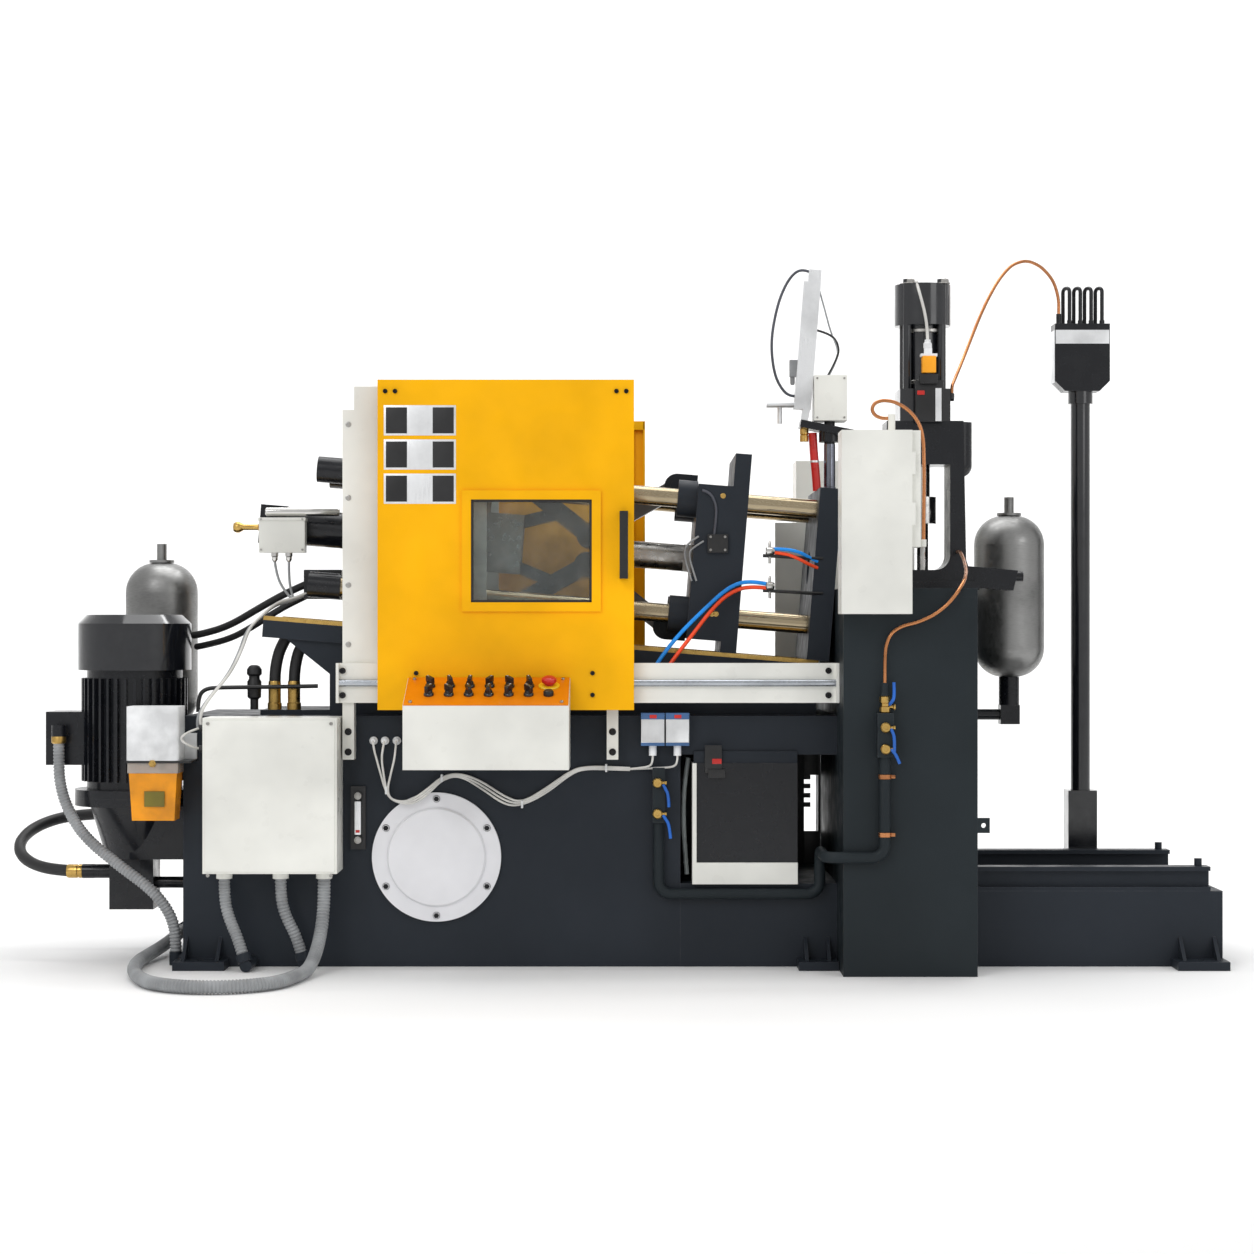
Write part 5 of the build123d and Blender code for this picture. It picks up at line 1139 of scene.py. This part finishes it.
LOWER_HOSE_RADIUS = 0.010
LOWER_HOSE = [(-2.110, 0.150, 0.920), (-2.084, 0.100, 0.923), (-2.000, 0.060, 0.943),
              (-1.936, 0.020, 0.972), (-1.861, -0.030, 1.016), (-1.799, -0.060, 1.050),
              (-1.737, -0.080, 1.078)]
HOSE_BLOCK = [((-1.752, -0.115, 1.063), (-1.640, -0.076, 1.150), 0.003)]
CLAMP_HOSE_RADIUS = 0.017
CLAMP_HOSES = ((-1.833, 0.995), (-1.776, 0.962))
CLAMP_HOSE_Y = -0.150
CLAMP_HOSE_RISE = [(0.0, 0.738), (0.0, 0.810), (0.003, 0.868), (0.020, 0.930)]
CLAMP_HOSE_END = (0.062, 0.010)
FERRULE = [(0.021, 0.0), (0.021, 0.018), (0.0185, 0.021), (0.0185, 0.080), (0.0175, 0.084)]
DECK_Z = 0.737
BREATHER = [(0.012, 0.0), (0.012, 0.030), (0.020, 0.036), (0.021, 0.082), (0.016, 0.090),
            (0.016, 0.098), (0.022, 0.104), (0.022, 0.118), (0.015, 0.128), (0.008, 0.131)]
BREATHER_X = -1.893
LUBRICANT_PIPE_RADIUS = 0.006
LUBRICANT_PIPE = [(-2.051, -0.200, 0.731), (-2.051, -0.200, 0.775), (-2.030, -0.200, 0.800),
                  (-1.980, -0.200, 0.803), (-1.850, -0.200, 0.804), (-1.700, -0.200, 0.807)]
BRIGHT_TUBE = [(0.009, 0.0), (0.013, 0.003), (0.013, 0.215), (0.010, 0.220)]
BRIGHT_TUBE_PLACE = (-1.868, -0.092, 1.322)
BRASS_END = [(0.004, 0.0), (0.012, 0.002), (0.0165, 0.010), (0.0165, 0.018), (0.012, 0.026),
             (0.0085, 0.032), (0.0085, 0.074), (0.0125, 0.078), (0.0125, 0.094)]
BRASS_END_PLACE = (-1.963, -0.100, 1.276)


def clamp_hose(number, x, top):
    """A thick hose that rises from the deck and bends in toward the clamp bed."""
    route = [(x + shift, CLAMP_HOSE_Y, z) for shift, z in CLAMP_HOSE_RISE]
    route.append((x + CLAMP_HOSE_END[0], CLAMP_HOSE_Y + CLAMP_HOSE_END[1], top))
    wire("clamp_hose_" + str(number), route, CLAMP_HOSE_RADIUS, "rubber")


def clamp_end_look():
    boxes("sensor_box", "cream", SENSOR_BOX)
    front = SENSOR_BOX[1][0][1]
    places = [(x, front, z) for x in SENSOR_SCREWS_X for z in SENSOR_SCREWS_Z]
    screws("sensor_box_screws", places, FRONT, SMALL_SCREW, make=cap_screw)
    bottom = SENSOR_BOX[0][0][2]
    middle = middle_of(SENSOR_BOX[0][0][1], SENSOR_BOX[0][1][1])
    turned("sensor_glands", "chrome",
           [(SENSOR_GLAND, (x, middle, bottom), DOWN, SMALL_SEGMENTS) for x in SENSOR_GLANDS_X])
    for name, route in SENSOR_WIRES.items():
        wire(name, route, SENSOR_WIRE_RADIUS, "conduit")
    for number, (shift, look) in enumerate(BUNDLE_SHIFTS):
        route = [(x + shift, y, z + shift) for x, y, z in BUNDLE_ROUTE]
        wire("cable_bundle_" + str(number), route, BUNDLE_RADIUS, look)
    wire("lubricator_wire", LUBRICATOR_WIRE, LUBRICATOR_WIRE_RADIUS, "wire")
    wire("upper_oil_hose", UPPER_HOSE, UPPER_HOSE_RADIUS, "rubber")
    wire("lower_oil_hose", LOWER_HOSE, LOWER_HOSE_RADIUS, "rubber")
    boxes("hose_block", "black", HOSE_BLOCK)
    for number, (x, top) in enumerate(CLAMP_HOSES):
        clamp_hose(number, x, top)
    turned("hose_ferrules", "brass",
           [(FERRULE, (x, CLAMP_HOSE_Y, DECK_Z), UP, FITTING_SEGMENTS) for x, top in CLAMP_HOSES])
    turned("breather_filter", "black_plastic",
           [(BREATHER, (BREATHER_X, CLAMP_HOSE_Y, DECK_Z), UP, LATHE_SEGMENTS)])
    wire("lubricant_pipe", LUBRICANT_PIPE, LUBRICANT_PIPE_RADIUS, "black_plastic")
    turned("bright_tube", "chrome", [(BRIGHT_TUBE, BRIGHT_TUBE_PLACE, RIGHT, FITTING_SEGMENTS)])
    turned("brass_end", "brass", [(BRASS_END, BRASS_END_PLACE, RIGHT, FITTING_SEGMENTS)])


# Lubricator
COLLAR_SIDE = 0.002
COLLAR_HEIGHT = 0.030
SEAM_SIDE = 0.001
SEAM_HEIGHT = 0.006
STUD = [(0.011, 0.0), (0.011, 0.005), (0.007, 0.008), (0.007, 0.012)]
STUD_DROP = 0.002
TANK_PLATE_X = (-0.024, 0.034)
TANK_PLATE_Z = (0.040, 0.084)
TANK_PLATE_THICKNESS = 0.0015


def lubricator_look():
    low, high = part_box("lubricator_tank")
    boxes("lubricator_collar", "clear_band",
          [((low.x - COLLAR_SIDE, low.y - COLLAR_SIDE, high.z - COLLAR_HEIGHT),
            (high.x + COLLAR_SIDE, high.y + COLLAR_SIDE, high.z), SOFT_EDGE)])
    head_low, head_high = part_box("lubricator_head")
    boxes("lubricator_seam", "black_plastic",
          [((head_low.x - SEAM_SIDE, head_low.y - SEAM_SIDE, high.z - SEAM_SIDE),
            (head_high.x + SEAM_SIDE, head_high.y, high.z + SEAM_HEIGHT), SOFT_EDGE)])
    middle = middle_of(low.x, high.x)
    turned("lubricator_stud", "brass",
           [(STUD, (middle, low.y - COLLAR_SIDE, high.z - STUD_DROP), FRONT, HEX)])
    boxes("lubricator_plate", "olive",
          [((middle + TANK_PLATE_X[0], low.y - TANK_PLATE_THICKNESS, low.z + TANK_PLATE_Z[0]),
            (middle + TANK_PLATE_X[1], low.y, low.z + TANK_PLATE_Z[1]), FINE_EDGE)])


# Sprayer
SPRAY_X = -0.193
SPRAY_Y = -0.100
SPRAY_BOX_HALF = (0.0485, 0.0515)
SPRAY_BOX_Z = (1.589, 1.7235)
SPRAY_SCREWS_X = 0.040
SPRAY_SCREWS_Z = (1.598, 1.714)
POST_TOP = 1.522
POST_RADIUS = 0.0172
POST_COLLAR_RADIUS = 0.019
POST_COLLAR_HEIGHTS = (0.004, 0.012, 0.014)
AIR_FITTING = [(0.009, 0.0), (0.013, 0.004), (0.013, 0.020), (0.011, 0.022), (0.013, 0.024),
               (0.013, 0.042)]
AIR_FITTING_X = -0.268
AIR_FITTING_TOP = 1.572
AIR_CLIP = [(0.0140, 0.0), (0.0140, 0.006)]
AIR_CLIP_X = -0.2375
AIR_CLIP_Z = 1.468
SPRAY_SWITCH_X = (-0.312, -0.288)
SPRAY_SWITCH_Z = (1.722, 1.772)
SPRAY_SWITCH_HALF = 0.013
SPRAY_SWITCH_GLAND = [(0.007, 0.0), (0.007, 0.018), (0.005, 0.024)]
SPRAY_SWITCH_GLAND_X = -0.303
AIR_HOSE = [(-0.243, 1.556), (-0.240, 1.500), (-0.234, 1.440), (-0.230, 1.384)]
AIR_HOSE_RADIUS = 0.0125
SPRAY_CABLES = [
    ("spray_loop_cable", 0.0042, "cable_grey",
     [(-0.240, 2.028), (-0.269, 2.044), (-0.305, 2.027), (-0.340, 1.962), (-0.362, 1.868),
      (-0.366, 1.800), (-0.356, 1.728), (-0.335, 1.686), (-0.312, 1.665), (-0.292, 1.665)]),
    ("spray_signal_cable", 0.0026, "conduit",
     [(-0.226, 1.990), (-0.208, 1.926), (-0.190, 1.856), (-0.168, 1.807), (-0.170, 1.770),
      (-0.197, 1.722)]),
    ("spray_supply_cable", 0.0034, "black_plastic",
     [(-0.236, 1.862), (-0.192, 1.851), (-0.167, 1.822), (-0.166, 1.780), (-0.200, 1.722)])]


def in_spray_plane(route):
    return [(x, SPRAY_Y, z) for x, z in route]


def spray_look():
    half_x, half_y = SPRAY_BOX_HALF
    front = SPRAY_Y - half_y
    boxes("spray_box_shell", "cream",
          [((SPRAY_X - half_x, front, SPRAY_BOX_Z[0]),
            (SPRAY_X + half_x, SPRAY_Y + half_y, SPRAY_BOX_Z[1]), ROUND_EDGE)])
    lid = [(SPRAY_X + x, front, z) for x in (-SPRAY_SCREWS_X, SPRAY_SCREWS_X)
           for z in SPRAY_SCREWS_Z]
    screws("spray_box_screws", lid, FRONT, SMALL_SCREW, make=cap_screw)
    foot, seat, shoulder = [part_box("spray_post")[0].z + z for z in POST_COLLAR_HEIGHTS]
    sleeve = [(POST_COLLAR_RADIUS, foot), (POST_COLLAR_RADIUS, seat), (POST_RADIUS, shoulder),
              (POST_RADIUS, POST_TOP)]
    turned("spray_post_sleeve", "dark_chrome",
           [(sleeve, (SPRAY_X, SPRAY_Y, 0.0), UP, LATHE_SEGMENTS)])
    turned("spray_air_fitting", "brass",
           [(AIR_FITTING, (AIR_FITTING_X, SPRAY_Y, AIR_FITTING_TOP), DOWN, FITTING_SEGMENTS)])
    wire("spray_air_hose", in_spray_plane(AIR_HOSE), AIR_HOSE_RADIUS, "red_plastic")
    turned("spray_hose_clip", "alloy",
           [(AIR_CLIP, (AIR_CLIP_X, SPRAY_Y, AIR_CLIP_Z), UP, FITTING_SEGMENTS)])
    for name, radius, look, route in SPRAY_CABLES:
        wire(name, in_spray_plane(route), radius, look)
    switch = bmesh.new()
    bottom, top = SPRAY_SWITCH_Z
    soft_box(switch, (SPRAY_SWITCH_X[0], SPRAY_Y - SPRAY_SWITCH_HALF, bottom),
             (SPRAY_SWITCH_X[1], SPRAY_Y + SPRAY_SWITCH_HALF, top), SOFT_EDGE)
    lathe(switch, SPRAY_SWITCH_GLAND, (SPRAY_SWITCH_GLAND_X, SPRAY_Y, bottom), DOWN, GLAND_SEGMENTS)
    finish_piece("spray_switch", switch, "conduit")


# Water nozzles in the die space, with their hoses
NOZZLE_Y = -0.283
NOZZLES_Z = (1.200, 1.099)
NOZZLE_PIN = [(0.004, 0.0), (0.004, 0.058), (0.002, 0.066)]
NOZZLE_PIN_X = -0.380
NOZZLE_PIN_DROP = 0.036
NOZZLE_TIP = [(0.009, 0.0), (0.012, 0.003), (0.012, 0.020), (0.008, 0.026)]
NOZZLE_TIP_X = -0.392
NOZZLE_ROD_RADIUS = 0.0050
NOZZLE_RODS_Z = (1.187, 1.086)
NOZZLE_ROD = [(-0.400, -0.283, 0.0), (-0.320, -0.283, -0.004), (-0.262, -0.270, -0.008),
              (-0.225, -0.262, -0.008)]
SHORT_HOSE_RADIUS = 0.0050
LONG_HOSE_RADIUS = 0.0058
NOZZLE_HOSES = [
    ("upper_blue_hose", SHORT_HOSE_RADIUS, "blue_hose",
     [(-0.372, -0.283, 1.206), (-0.330, -0.283, 1.206), (-0.290, -0.283, 1.196),
      (-0.262, -0.270, 1.180), (-0.240, -0.262, 1.170)]),
    ("upper_red_hose", SHORT_HOSE_RADIUS, "red_hose",
     [(-0.368, -0.283, 1.196), (-0.330, -0.283, 1.192), (-0.292, -0.283, 1.176),
      (-0.262, -0.270, 1.160), (-0.240, -0.262, 1.152)]),
    ("lower_blue_hose", LONG_HOSE_RADIUS, "blue_hose",
     [(-0.385, -0.283, 1.104), (-0.440, -0.284, 1.116), (-0.500, -0.290, 1.096),
      (-0.570, -0.305, 1.032), (-0.645, -0.320, 0.958), (-0.700, -0.330, 0.888),
      (-0.735, -0.338, 0.830)]),
    ("lower_red_hose", LONG_HOSE_RADIUS, "red_hose",
     [(-0.385, -0.283, 1.092), (-0.440, -0.284, 1.100), (-0.500, -0.290, 1.078),
      (-0.550, -0.305, 1.030), (-0.605, -0.320, 0.958), (-0.660, -0.330, 0.888),
      (-0.700, -0.338, 0.830)])]


def nozzle_look():
    shapes = []
    for z in NOZZLES_Z:
        shapes += [(NOZZLE_PIN, (NOZZLE_PIN_X, NOZZLE_Y, z - NOZZLE_PIN_DROP), UP, GLAND_SEGMENTS),
                   (NOZZLE_TIP, (NOZZLE_TIP_X, NOZZLE_Y, z), RIGHT, GLAND_SEGMENTS)]
    turned("nozzle_clamps", "chrome", shapes)
    for number, z in enumerate(NOZZLE_RODS_Z):
        rod = [(x, y, z + rise) for x, y, rise in NOZZLE_ROD]
        wire("nozzle_rod_" + str(number), rod, NOZZLE_ROD_RADIUS, "black_plastic")
    for name, radius, look, route in NOZZLE_HOSES:
        wire(name, route, radius, look)


# Grease pipe, sensor loops and grease block on the moving platen
PIPE_GAP = 0.004
GREASE_PIPE_RADIUS = 0.0040
GREASE_PIPE = [(-0.575, 1.378), (-0.552, 1.372), (-0.536, 1.340), (-0.533, 1.310),
               (-0.540, 1.250)]
SENSOR_LOOP_RADIUS = 0.0030
SENSOR_LOOP_SHIFTS = (0.0, 0.014)
SENSOR_LOOP = [(-0.585, 1.244), (-0.622, 1.222), (-0.628, 1.190), (-0.618, 1.150),
               (-0.606, 1.114)]
LOOP_ENDS = 2
GREASE_FITTING = 0.006
GREASE_FITTINGS = [(-0.514, 1.362), (-0.547, 1.018), (-0.535, 1.018)]
GREASE_BLOCK_X = (-0.560, -0.500)
GREASE_BLOCK_Z = (1.196, 1.250)
GREASE_BLOCK_DEPTH = 0.014
BLOCK_SCREW = 0.004
BLOCK_SCREWS_X = (-0.551, -0.509)
BLOCK_SCREWS_Z = (1.204, 1.242)


def platen_look():
    platen = "moving_platen"
    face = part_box(platen)[0].y
    route = [(x, face - PIPE_GAP, z) for x, z in GREASE_PIPE]
    wire("grease_pipe", route, GREASE_PIPE_RADIUS, "cable_grey", platen)
    for number, shift in enumerate(SENSOR_LOOP_SHIFTS):
        route = []
        for index, (x, z) in enumerate(SENSOR_LOOP):
            drop = shift if index < LOOP_ENDS else 0.0
            route.append((x + shift, face - PIPE_GAP, z - drop))
        wire("sensor_loop_" + str(number), route, SENSOR_LOOP_RADIUS, "conduit", platen)
    places = [(x, face, z) for x, z in GREASE_FITTINGS]
    screws("grease_fittings", places, FRONT, GREASE_FITTING, "brass", platen)
    front = face - GREASE_BLOCK_DEPTH
    boxes("grease_block", "black_plastic",
          [((GREASE_BLOCK_X[0], front, GREASE_BLOCK_Z[0]),
            (GREASE_BLOCK_X[1], face, GREASE_BLOCK_Z[1]), ROUND_EDGE)], platen)
    places = [(x, front, z) for x in BLOCK_SCREWS_X for z in BLOCK_SCREWS_Z]
    screws("grease_block_screws", places, FRONT, BLOCK_SCREW, "bolt", platen, cap_screw)


# Lubricant distributor
BAND_THICKNESS = 0.0015
FRONT_BAND_INSET = 0.002
SIDE_BAND_INSET = 0.001
FRONT_BAND_Z = (1.866, 1.909)
SIDE_BAND_LOW = 1.745
BAND_ROUNDING = 0.0006


def distributor_look():
    low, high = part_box("distributor_head")
    boxes("distributor_band", "alloy",
          [((low.x + FRONT_BAND_INSET, low.y - BAND_THICKNESS, FRONT_BAND_Z[0]),
            (high.x - FRONT_BAND_INSET, low.y, FRONT_BAND_Z[1]), BAND_ROUNDING),
           ((low.x - BAND_THICKNESS, low.y + SIDE_BAND_INSET, SIDE_BAND_LOW),
            (low.x, high.y - SIDE_BAND_INSET, FRONT_BAND_Z[1]), BAND_ROUNDING)])


# White cables along the base
BASE_FACE = -0.320
BASE_CABLE_RADIUS = 0.0032
BASE_GLAND = [(0.012, 0.0), (0.012, 0.006), (0.009, 0.008), (0.009, 0.022), (0.0065, 0.026)]
BASE_GLANDS_X = (-1.525, -1.492, -1.458)
BASE_GLAND_Z = 0.652
CABLE_ENDS = [
    [(-1.525, -0.345, 0.652), (-1.522, -0.352, 0.630), (-1.514, -0.348, 0.600),
     (-1.502, -0.344, 0.554), (-1.490, -0.342, 0.512)],
    [(-1.492, -0.345, 0.652), (-1.496, -0.352, 0.630), (-1.500, -0.348, 0.600),
     (-1.494, -0.344, 0.554), (-1.487, -0.342, 0.512)],
    [(-1.458, -0.345, 0.652), (-1.459, -0.352, 0.630), (-1.463, -0.348, 0.600),
     (-1.474, -0.344, 0.556), (-1.484, -0.342, 0.512)]]
CABLE_RUN = [(-1.474, -0.346, 0.484), (-1.435, -0.350, 0.474), (-1.401, -0.350, 0.482),
             (-1.361, -0.347, 0.512), (-1.327, -0.340, 0.545), (-1.278, -0.336, 0.557),
             (-1.217, -0.330, 0.528), (-1.145, -0.330, 0.478), (-1.096, -0.330, 0.470),
             (-1.027, -0.330, 0.508), (-0.958, -0.330, 0.560), (-0.921, -0.330, 0.574),
             (-0.854, -0.330, 0.574), (-0.785, -0.332, 0.571)]
CABLE_SPREAD = 0.0075
CABLE_STAGGER = 0.002
SPREAD_SHARES = (0.0, 0.4, 1.0, 1.0, 0.6, 0.4, 1.4, 1.6, 0.5, 1.0, 0.6, 0.4, 0.5, 0.4)
TIE_HALF = (0.003, 0.011)
TIE_DEPTHS = (-0.349, -0.324)
TIES = ((-1.487, 0.510), (-1.327, 0.545), (-1.096, 0.470), (-0.854, 0.574))
SWITCH_WIRE_INSET = 0.033
SWITCH_WIRE = [(0.0, -0.3425, 0.612), (0.0, -0.3425, 0.590), (-0.010, -0.340, 0.578),
               (-0.040, -0.334, 0.574)]


def base_cable_look():
    turned("cable_glands", "white_plastic",
           [(BASE_GLAND, (x, BASE_FACE, BASE_GLAND_Z), FRONT, GLAND_SEGMENTS) for x in BASE_GLANDS_X])
    for number, end in enumerate(CABLE_ENDS):
        rise = (number - 1) * CABLE_SPREAD
        run = [(x, y - number * CABLE_STAGGER, z + rise * share)
               for (x, y, z), share in zip(CABLE_RUN, SPREAD_SHARES)]
        wire("base_cable_" + str(number), end + run, BASE_CABLE_RADIUS, "wire")
    half_x, half_z = TIE_HALF
    boxes("cable_ties", "white_plastic",
          [((x - half_x, TIE_DEPTHS[0], z - half_z), (x + half_x, TIE_DEPTHS[1], z + half_z),
            FINE_EDGE) for x, z in TIES])
    low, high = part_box("flow_switches")
    for number, x in enumerate((low.x + SWITCH_WIRE_INSET, high.x - SWITCH_WIRE_INSET)):
        route = [(x + shift, y, z) for shift, y, z in SWITCH_WIRE]
        wire("switch_wire_" + str(number), route + CABLE_RUN[-1:], BASE_CABLE_RADIUS, "wire")


# Inside the bay, round the chute
SHEET_FRONT = 0.331
SHEET_BACK = 0.334
SHEET_EDGE = 0.0005
SHEET_LEFT = -0.656
SHEET_RIGHT = -0.1885
SHEET_FLOOR = 0.224
SHEET_ROOF = 0.642
SLOT_X = (-0.240, -0.196)
SLOT_Z = (0.342, 0.517)
TEETH_Z = (0.417, 0.446, 0.475, 0.503)
TOOTH_LENGTH = 0.020
TOOTH_HEIGHT = 0.015
TOOTH_EDGE = 0.0012
SPACER = [(0.0045, 0.0), (0.0045, 0.015), (0.0065, 0.0155), (0.0065, 0.019)]
SPACER_Y = 0.319
SPACER_INSET = 0.007
DRAIN_HOSE_RADIUS = 0.0068
DRAIN_HOSE = [(-0.616, -0.262, 0.600), (-0.622, -0.262, 0.560), (-0.6285, -0.262, 0.500),
              (-0.6300, -0.262, 0.430), (-0.6270, -0.262, 0.350), (-0.620, -0.262, 0.262)]
CATCH = [((-0.570, -0.344, 0.560), (-0.521, -0.334, 0.640), 0.002),
         ((-0.561, -0.352, 0.546), (-0.512, -0.340, 0.571), 0.003)]
CATCH_FLAG = [((-0.549, -0.346, 0.586), (-0.522, -0.343, 0.601), 0.001)]
CURTAIN_RAIL = [((-0.602, -0.331, 0.586), (-0.303, -0.324, 0.622), 0.002)]


def bay_look():
    """The dark sheets behind the chute, a drain hose and the catch over the curtain."""
    strips = [(SHEET_LEFT, SLOT_X[0], SHEET_FLOOR, SHEET_ROOF),
              (SLOT_X[1], SHEET_RIGHT, SHEET_FLOOR, SHEET_ROOF),
              (*SLOT_X, SHEET_FLOOR, SLOT_Z[0]), (*SLOT_X, SLOT_Z[1], SHEET_ROOF)]
    shapes = [((left, SHEET_FRONT, bottom), (right, SHEET_BACK, top), SHEET_EDGE)
              for left, right, bottom, top in strips]
    shapes += [((SLOT_X[0], SHEET_FRONT, z),
                (SLOT_X[0] + TOOTH_LENGTH, SHEET_BACK, z + TOOTH_HEIGHT), TOOTH_EDGE)
               for z in TEETH_Z]
    boxes("bay_sheets", "black_plastic", shapes)
    places = [(x, SPACER_Y, z) for x in (SHEET_LEFT + SPACER_INSET, SHEET_RIGHT - SPACER_INSET)
              for z in (SHEET_FLOOR + SPACER_INSET, SHEET_ROOF - SPACER_INSET)]
    turned("bay_spacers", "bolt", [(SPACER, place, BACK, SMALL_SEGMENTS) for place in places])
    wire("drain_hose", DRAIN_HOSE, DRAIN_HOSE_RADIUS, "pale_hose")
    boxes("curtain_catch", "black_plastic", CATCH)
    boxes("catch_flag", "red_plastic", CATCH_FLAG)
    boxes("curtain_rail", "charcoal", CURTAIN_RAIL)


# Cords, whose routes repeat the CAD model's in metres
RIDGE_PITCH = 0.0100
RIDGE_SHARES = (1.0, 1.0, 0.95, 0.86, 0.86, 0.95)
CONDUIT_SEGMENTS = 16
CONDUIT_RADIUS = 0.017
FLOOR_CONDUIT_RADIUS = 0.019
PUMP_HOSE_RADIUS = 0.0175
MOTOR_ROUTE = [(-2.462, -0.187, 0.650), (-2.462, -0.187, 0.598), (-2.458, -0.194, 0.520),
               (-2.430, -0.212, 0.444), (-2.372, -0.250, 0.366), (-2.268, -0.276, 0.288),
               (-2.170, -0.286, 0.218), (-2.122, -0.288, 0.158), (-2.101, -0.288, 0.098),
               (-2.101, -0.288, 0.040)]
FLOOR_ROUTE = [(-1.659, -0.400, 0.262), (-1.659, -0.400, 0.198), (-1.662, -0.420, 0.135),
               (-1.668, -0.459, 0.081), (-1.677, -0.512, 0.042), (-1.687, -0.575, 0.020),
               (-1.703, -0.680, 0.020), (-1.733, -0.810, 0.020), (-1.800, -0.884, 0.020),
               (-1.895, -0.917, 0.020), (-1.993, -0.900, 0.020), (-2.071, -0.837, 0.020),
               (-2.118, -0.749, 0.020), (-2.160, -0.625, 0.020), (-2.188, -0.480, 0.020),
               (-2.199, -0.340, 0.020), (-2.192, -0.205, 0.022), (-2.174, -0.090, 0.032),
               (-2.156, 0.010, 0.046), (-2.150, 0.100, 0.054), (-2.150, 0.150, 0.054)]
LEFT_BOX_ROUTE = [(-1.944, -0.400, 0.262), (-1.944, -0.400, 0.204), (-1.928, -0.410, 0.146),
                  (-1.902, -0.428, 0.096), (-1.886, -0.439, 0.050)]
RIGHT_BOX_ROUTE = [(-1.783, -0.400, 0.262), (-1.783, -0.400, 0.204), (-1.767, -0.396, 0.148),
                   (-1.741, -0.390, 0.100), (-1.727, -0.387, 0.052)]
HOSE_ROUTE = [(-2.413, -0.080, 0.254), (-2.459, -0.080, 0.254), (-2.550, -0.058, 0.264),
              (-2.616, 0.003, 0.291), (-2.641, 0.087, 0.327), (-2.616, 0.170, 0.364),
              (-2.550, 0.231, 0.391), (-2.459, 0.253, 0.400), (-2.361, 0.257, 0.404),
              (-2.263, 0.258, 0.399), (-2.170, 0.256, 0.396), (-2.110, 0.256, 0.396)]
HOSE_FERRULE = [(0.0195, -0.006), (0.0205, -0.004), (0.0205, 0.010), (0.0190, 0.012),
                (0.0190, 0.014), (0.0205, 0.016), (0.0205, 0.040), (0.0188, 0.046)]
CONDUIT_NUT = [(0.0205, -0.010), (0.0215, -0.008), (0.0215, 0.008), (0.0185, 0.012)]


def conduit(node, route, radius):
    """A ridged conduit in place of the plain tube of the CAD model."""
    line = points_along(route, RIDGE_PITCH / len(RIDGE_SHARES))
    mesh = bmesh.new()
    ridged_tube(mesh, line, radius)
    piece = finish_piece("ridged_" + node, mesh, "conduit")
    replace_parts(piece, node)


def cord_look():
    conduit("motor_conduit", MOTOR_ROUTE, CONDUIT_RADIUS)
    conduit("floor_conduit", FLOOR_ROUTE, FLOOR_CONDUIT_RADIUS)
    conduit("box_conduit_left", LEFT_BOX_ROUTE, CONDUIT_RADIUS)
    conduit("box_conduit_right", RIGHT_BOX_ROUTE, CONDUIT_RADIUS)
    hose = wire("pump_hose_rubber", HOSE_ROUTE, PUMP_HOSE_RADIUS, "rubber")
    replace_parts(hose, "pump_hose")
    turned("pump_hose_ferrule", "brass", [(HOSE_FERRULE, HOSE_ROUTE[0], LEFT, LATHE_SEGMENTS)])
    turned("motor_conduit_nut", "brass", [(CONDUIT_NUT, MOTOR_ROUTE[0], DOWN, FITTING_SEGMENTS)])


make_camera()
make_world()
for light in LIGHTS:
    make_light(*light)
make_stage()
dress_nodes()
console_look()
door_look()
rail_look()
rear_guard_look()
box_look()
cover_look()
gauge_look()
switch_look()
valve_look()
shot_look()
clamp_end_look()
lubricator_look()
spray_look()
nozzle_look()
platen_look()
distributor_look()
base_cable_look()
bay_look()
cord_look()
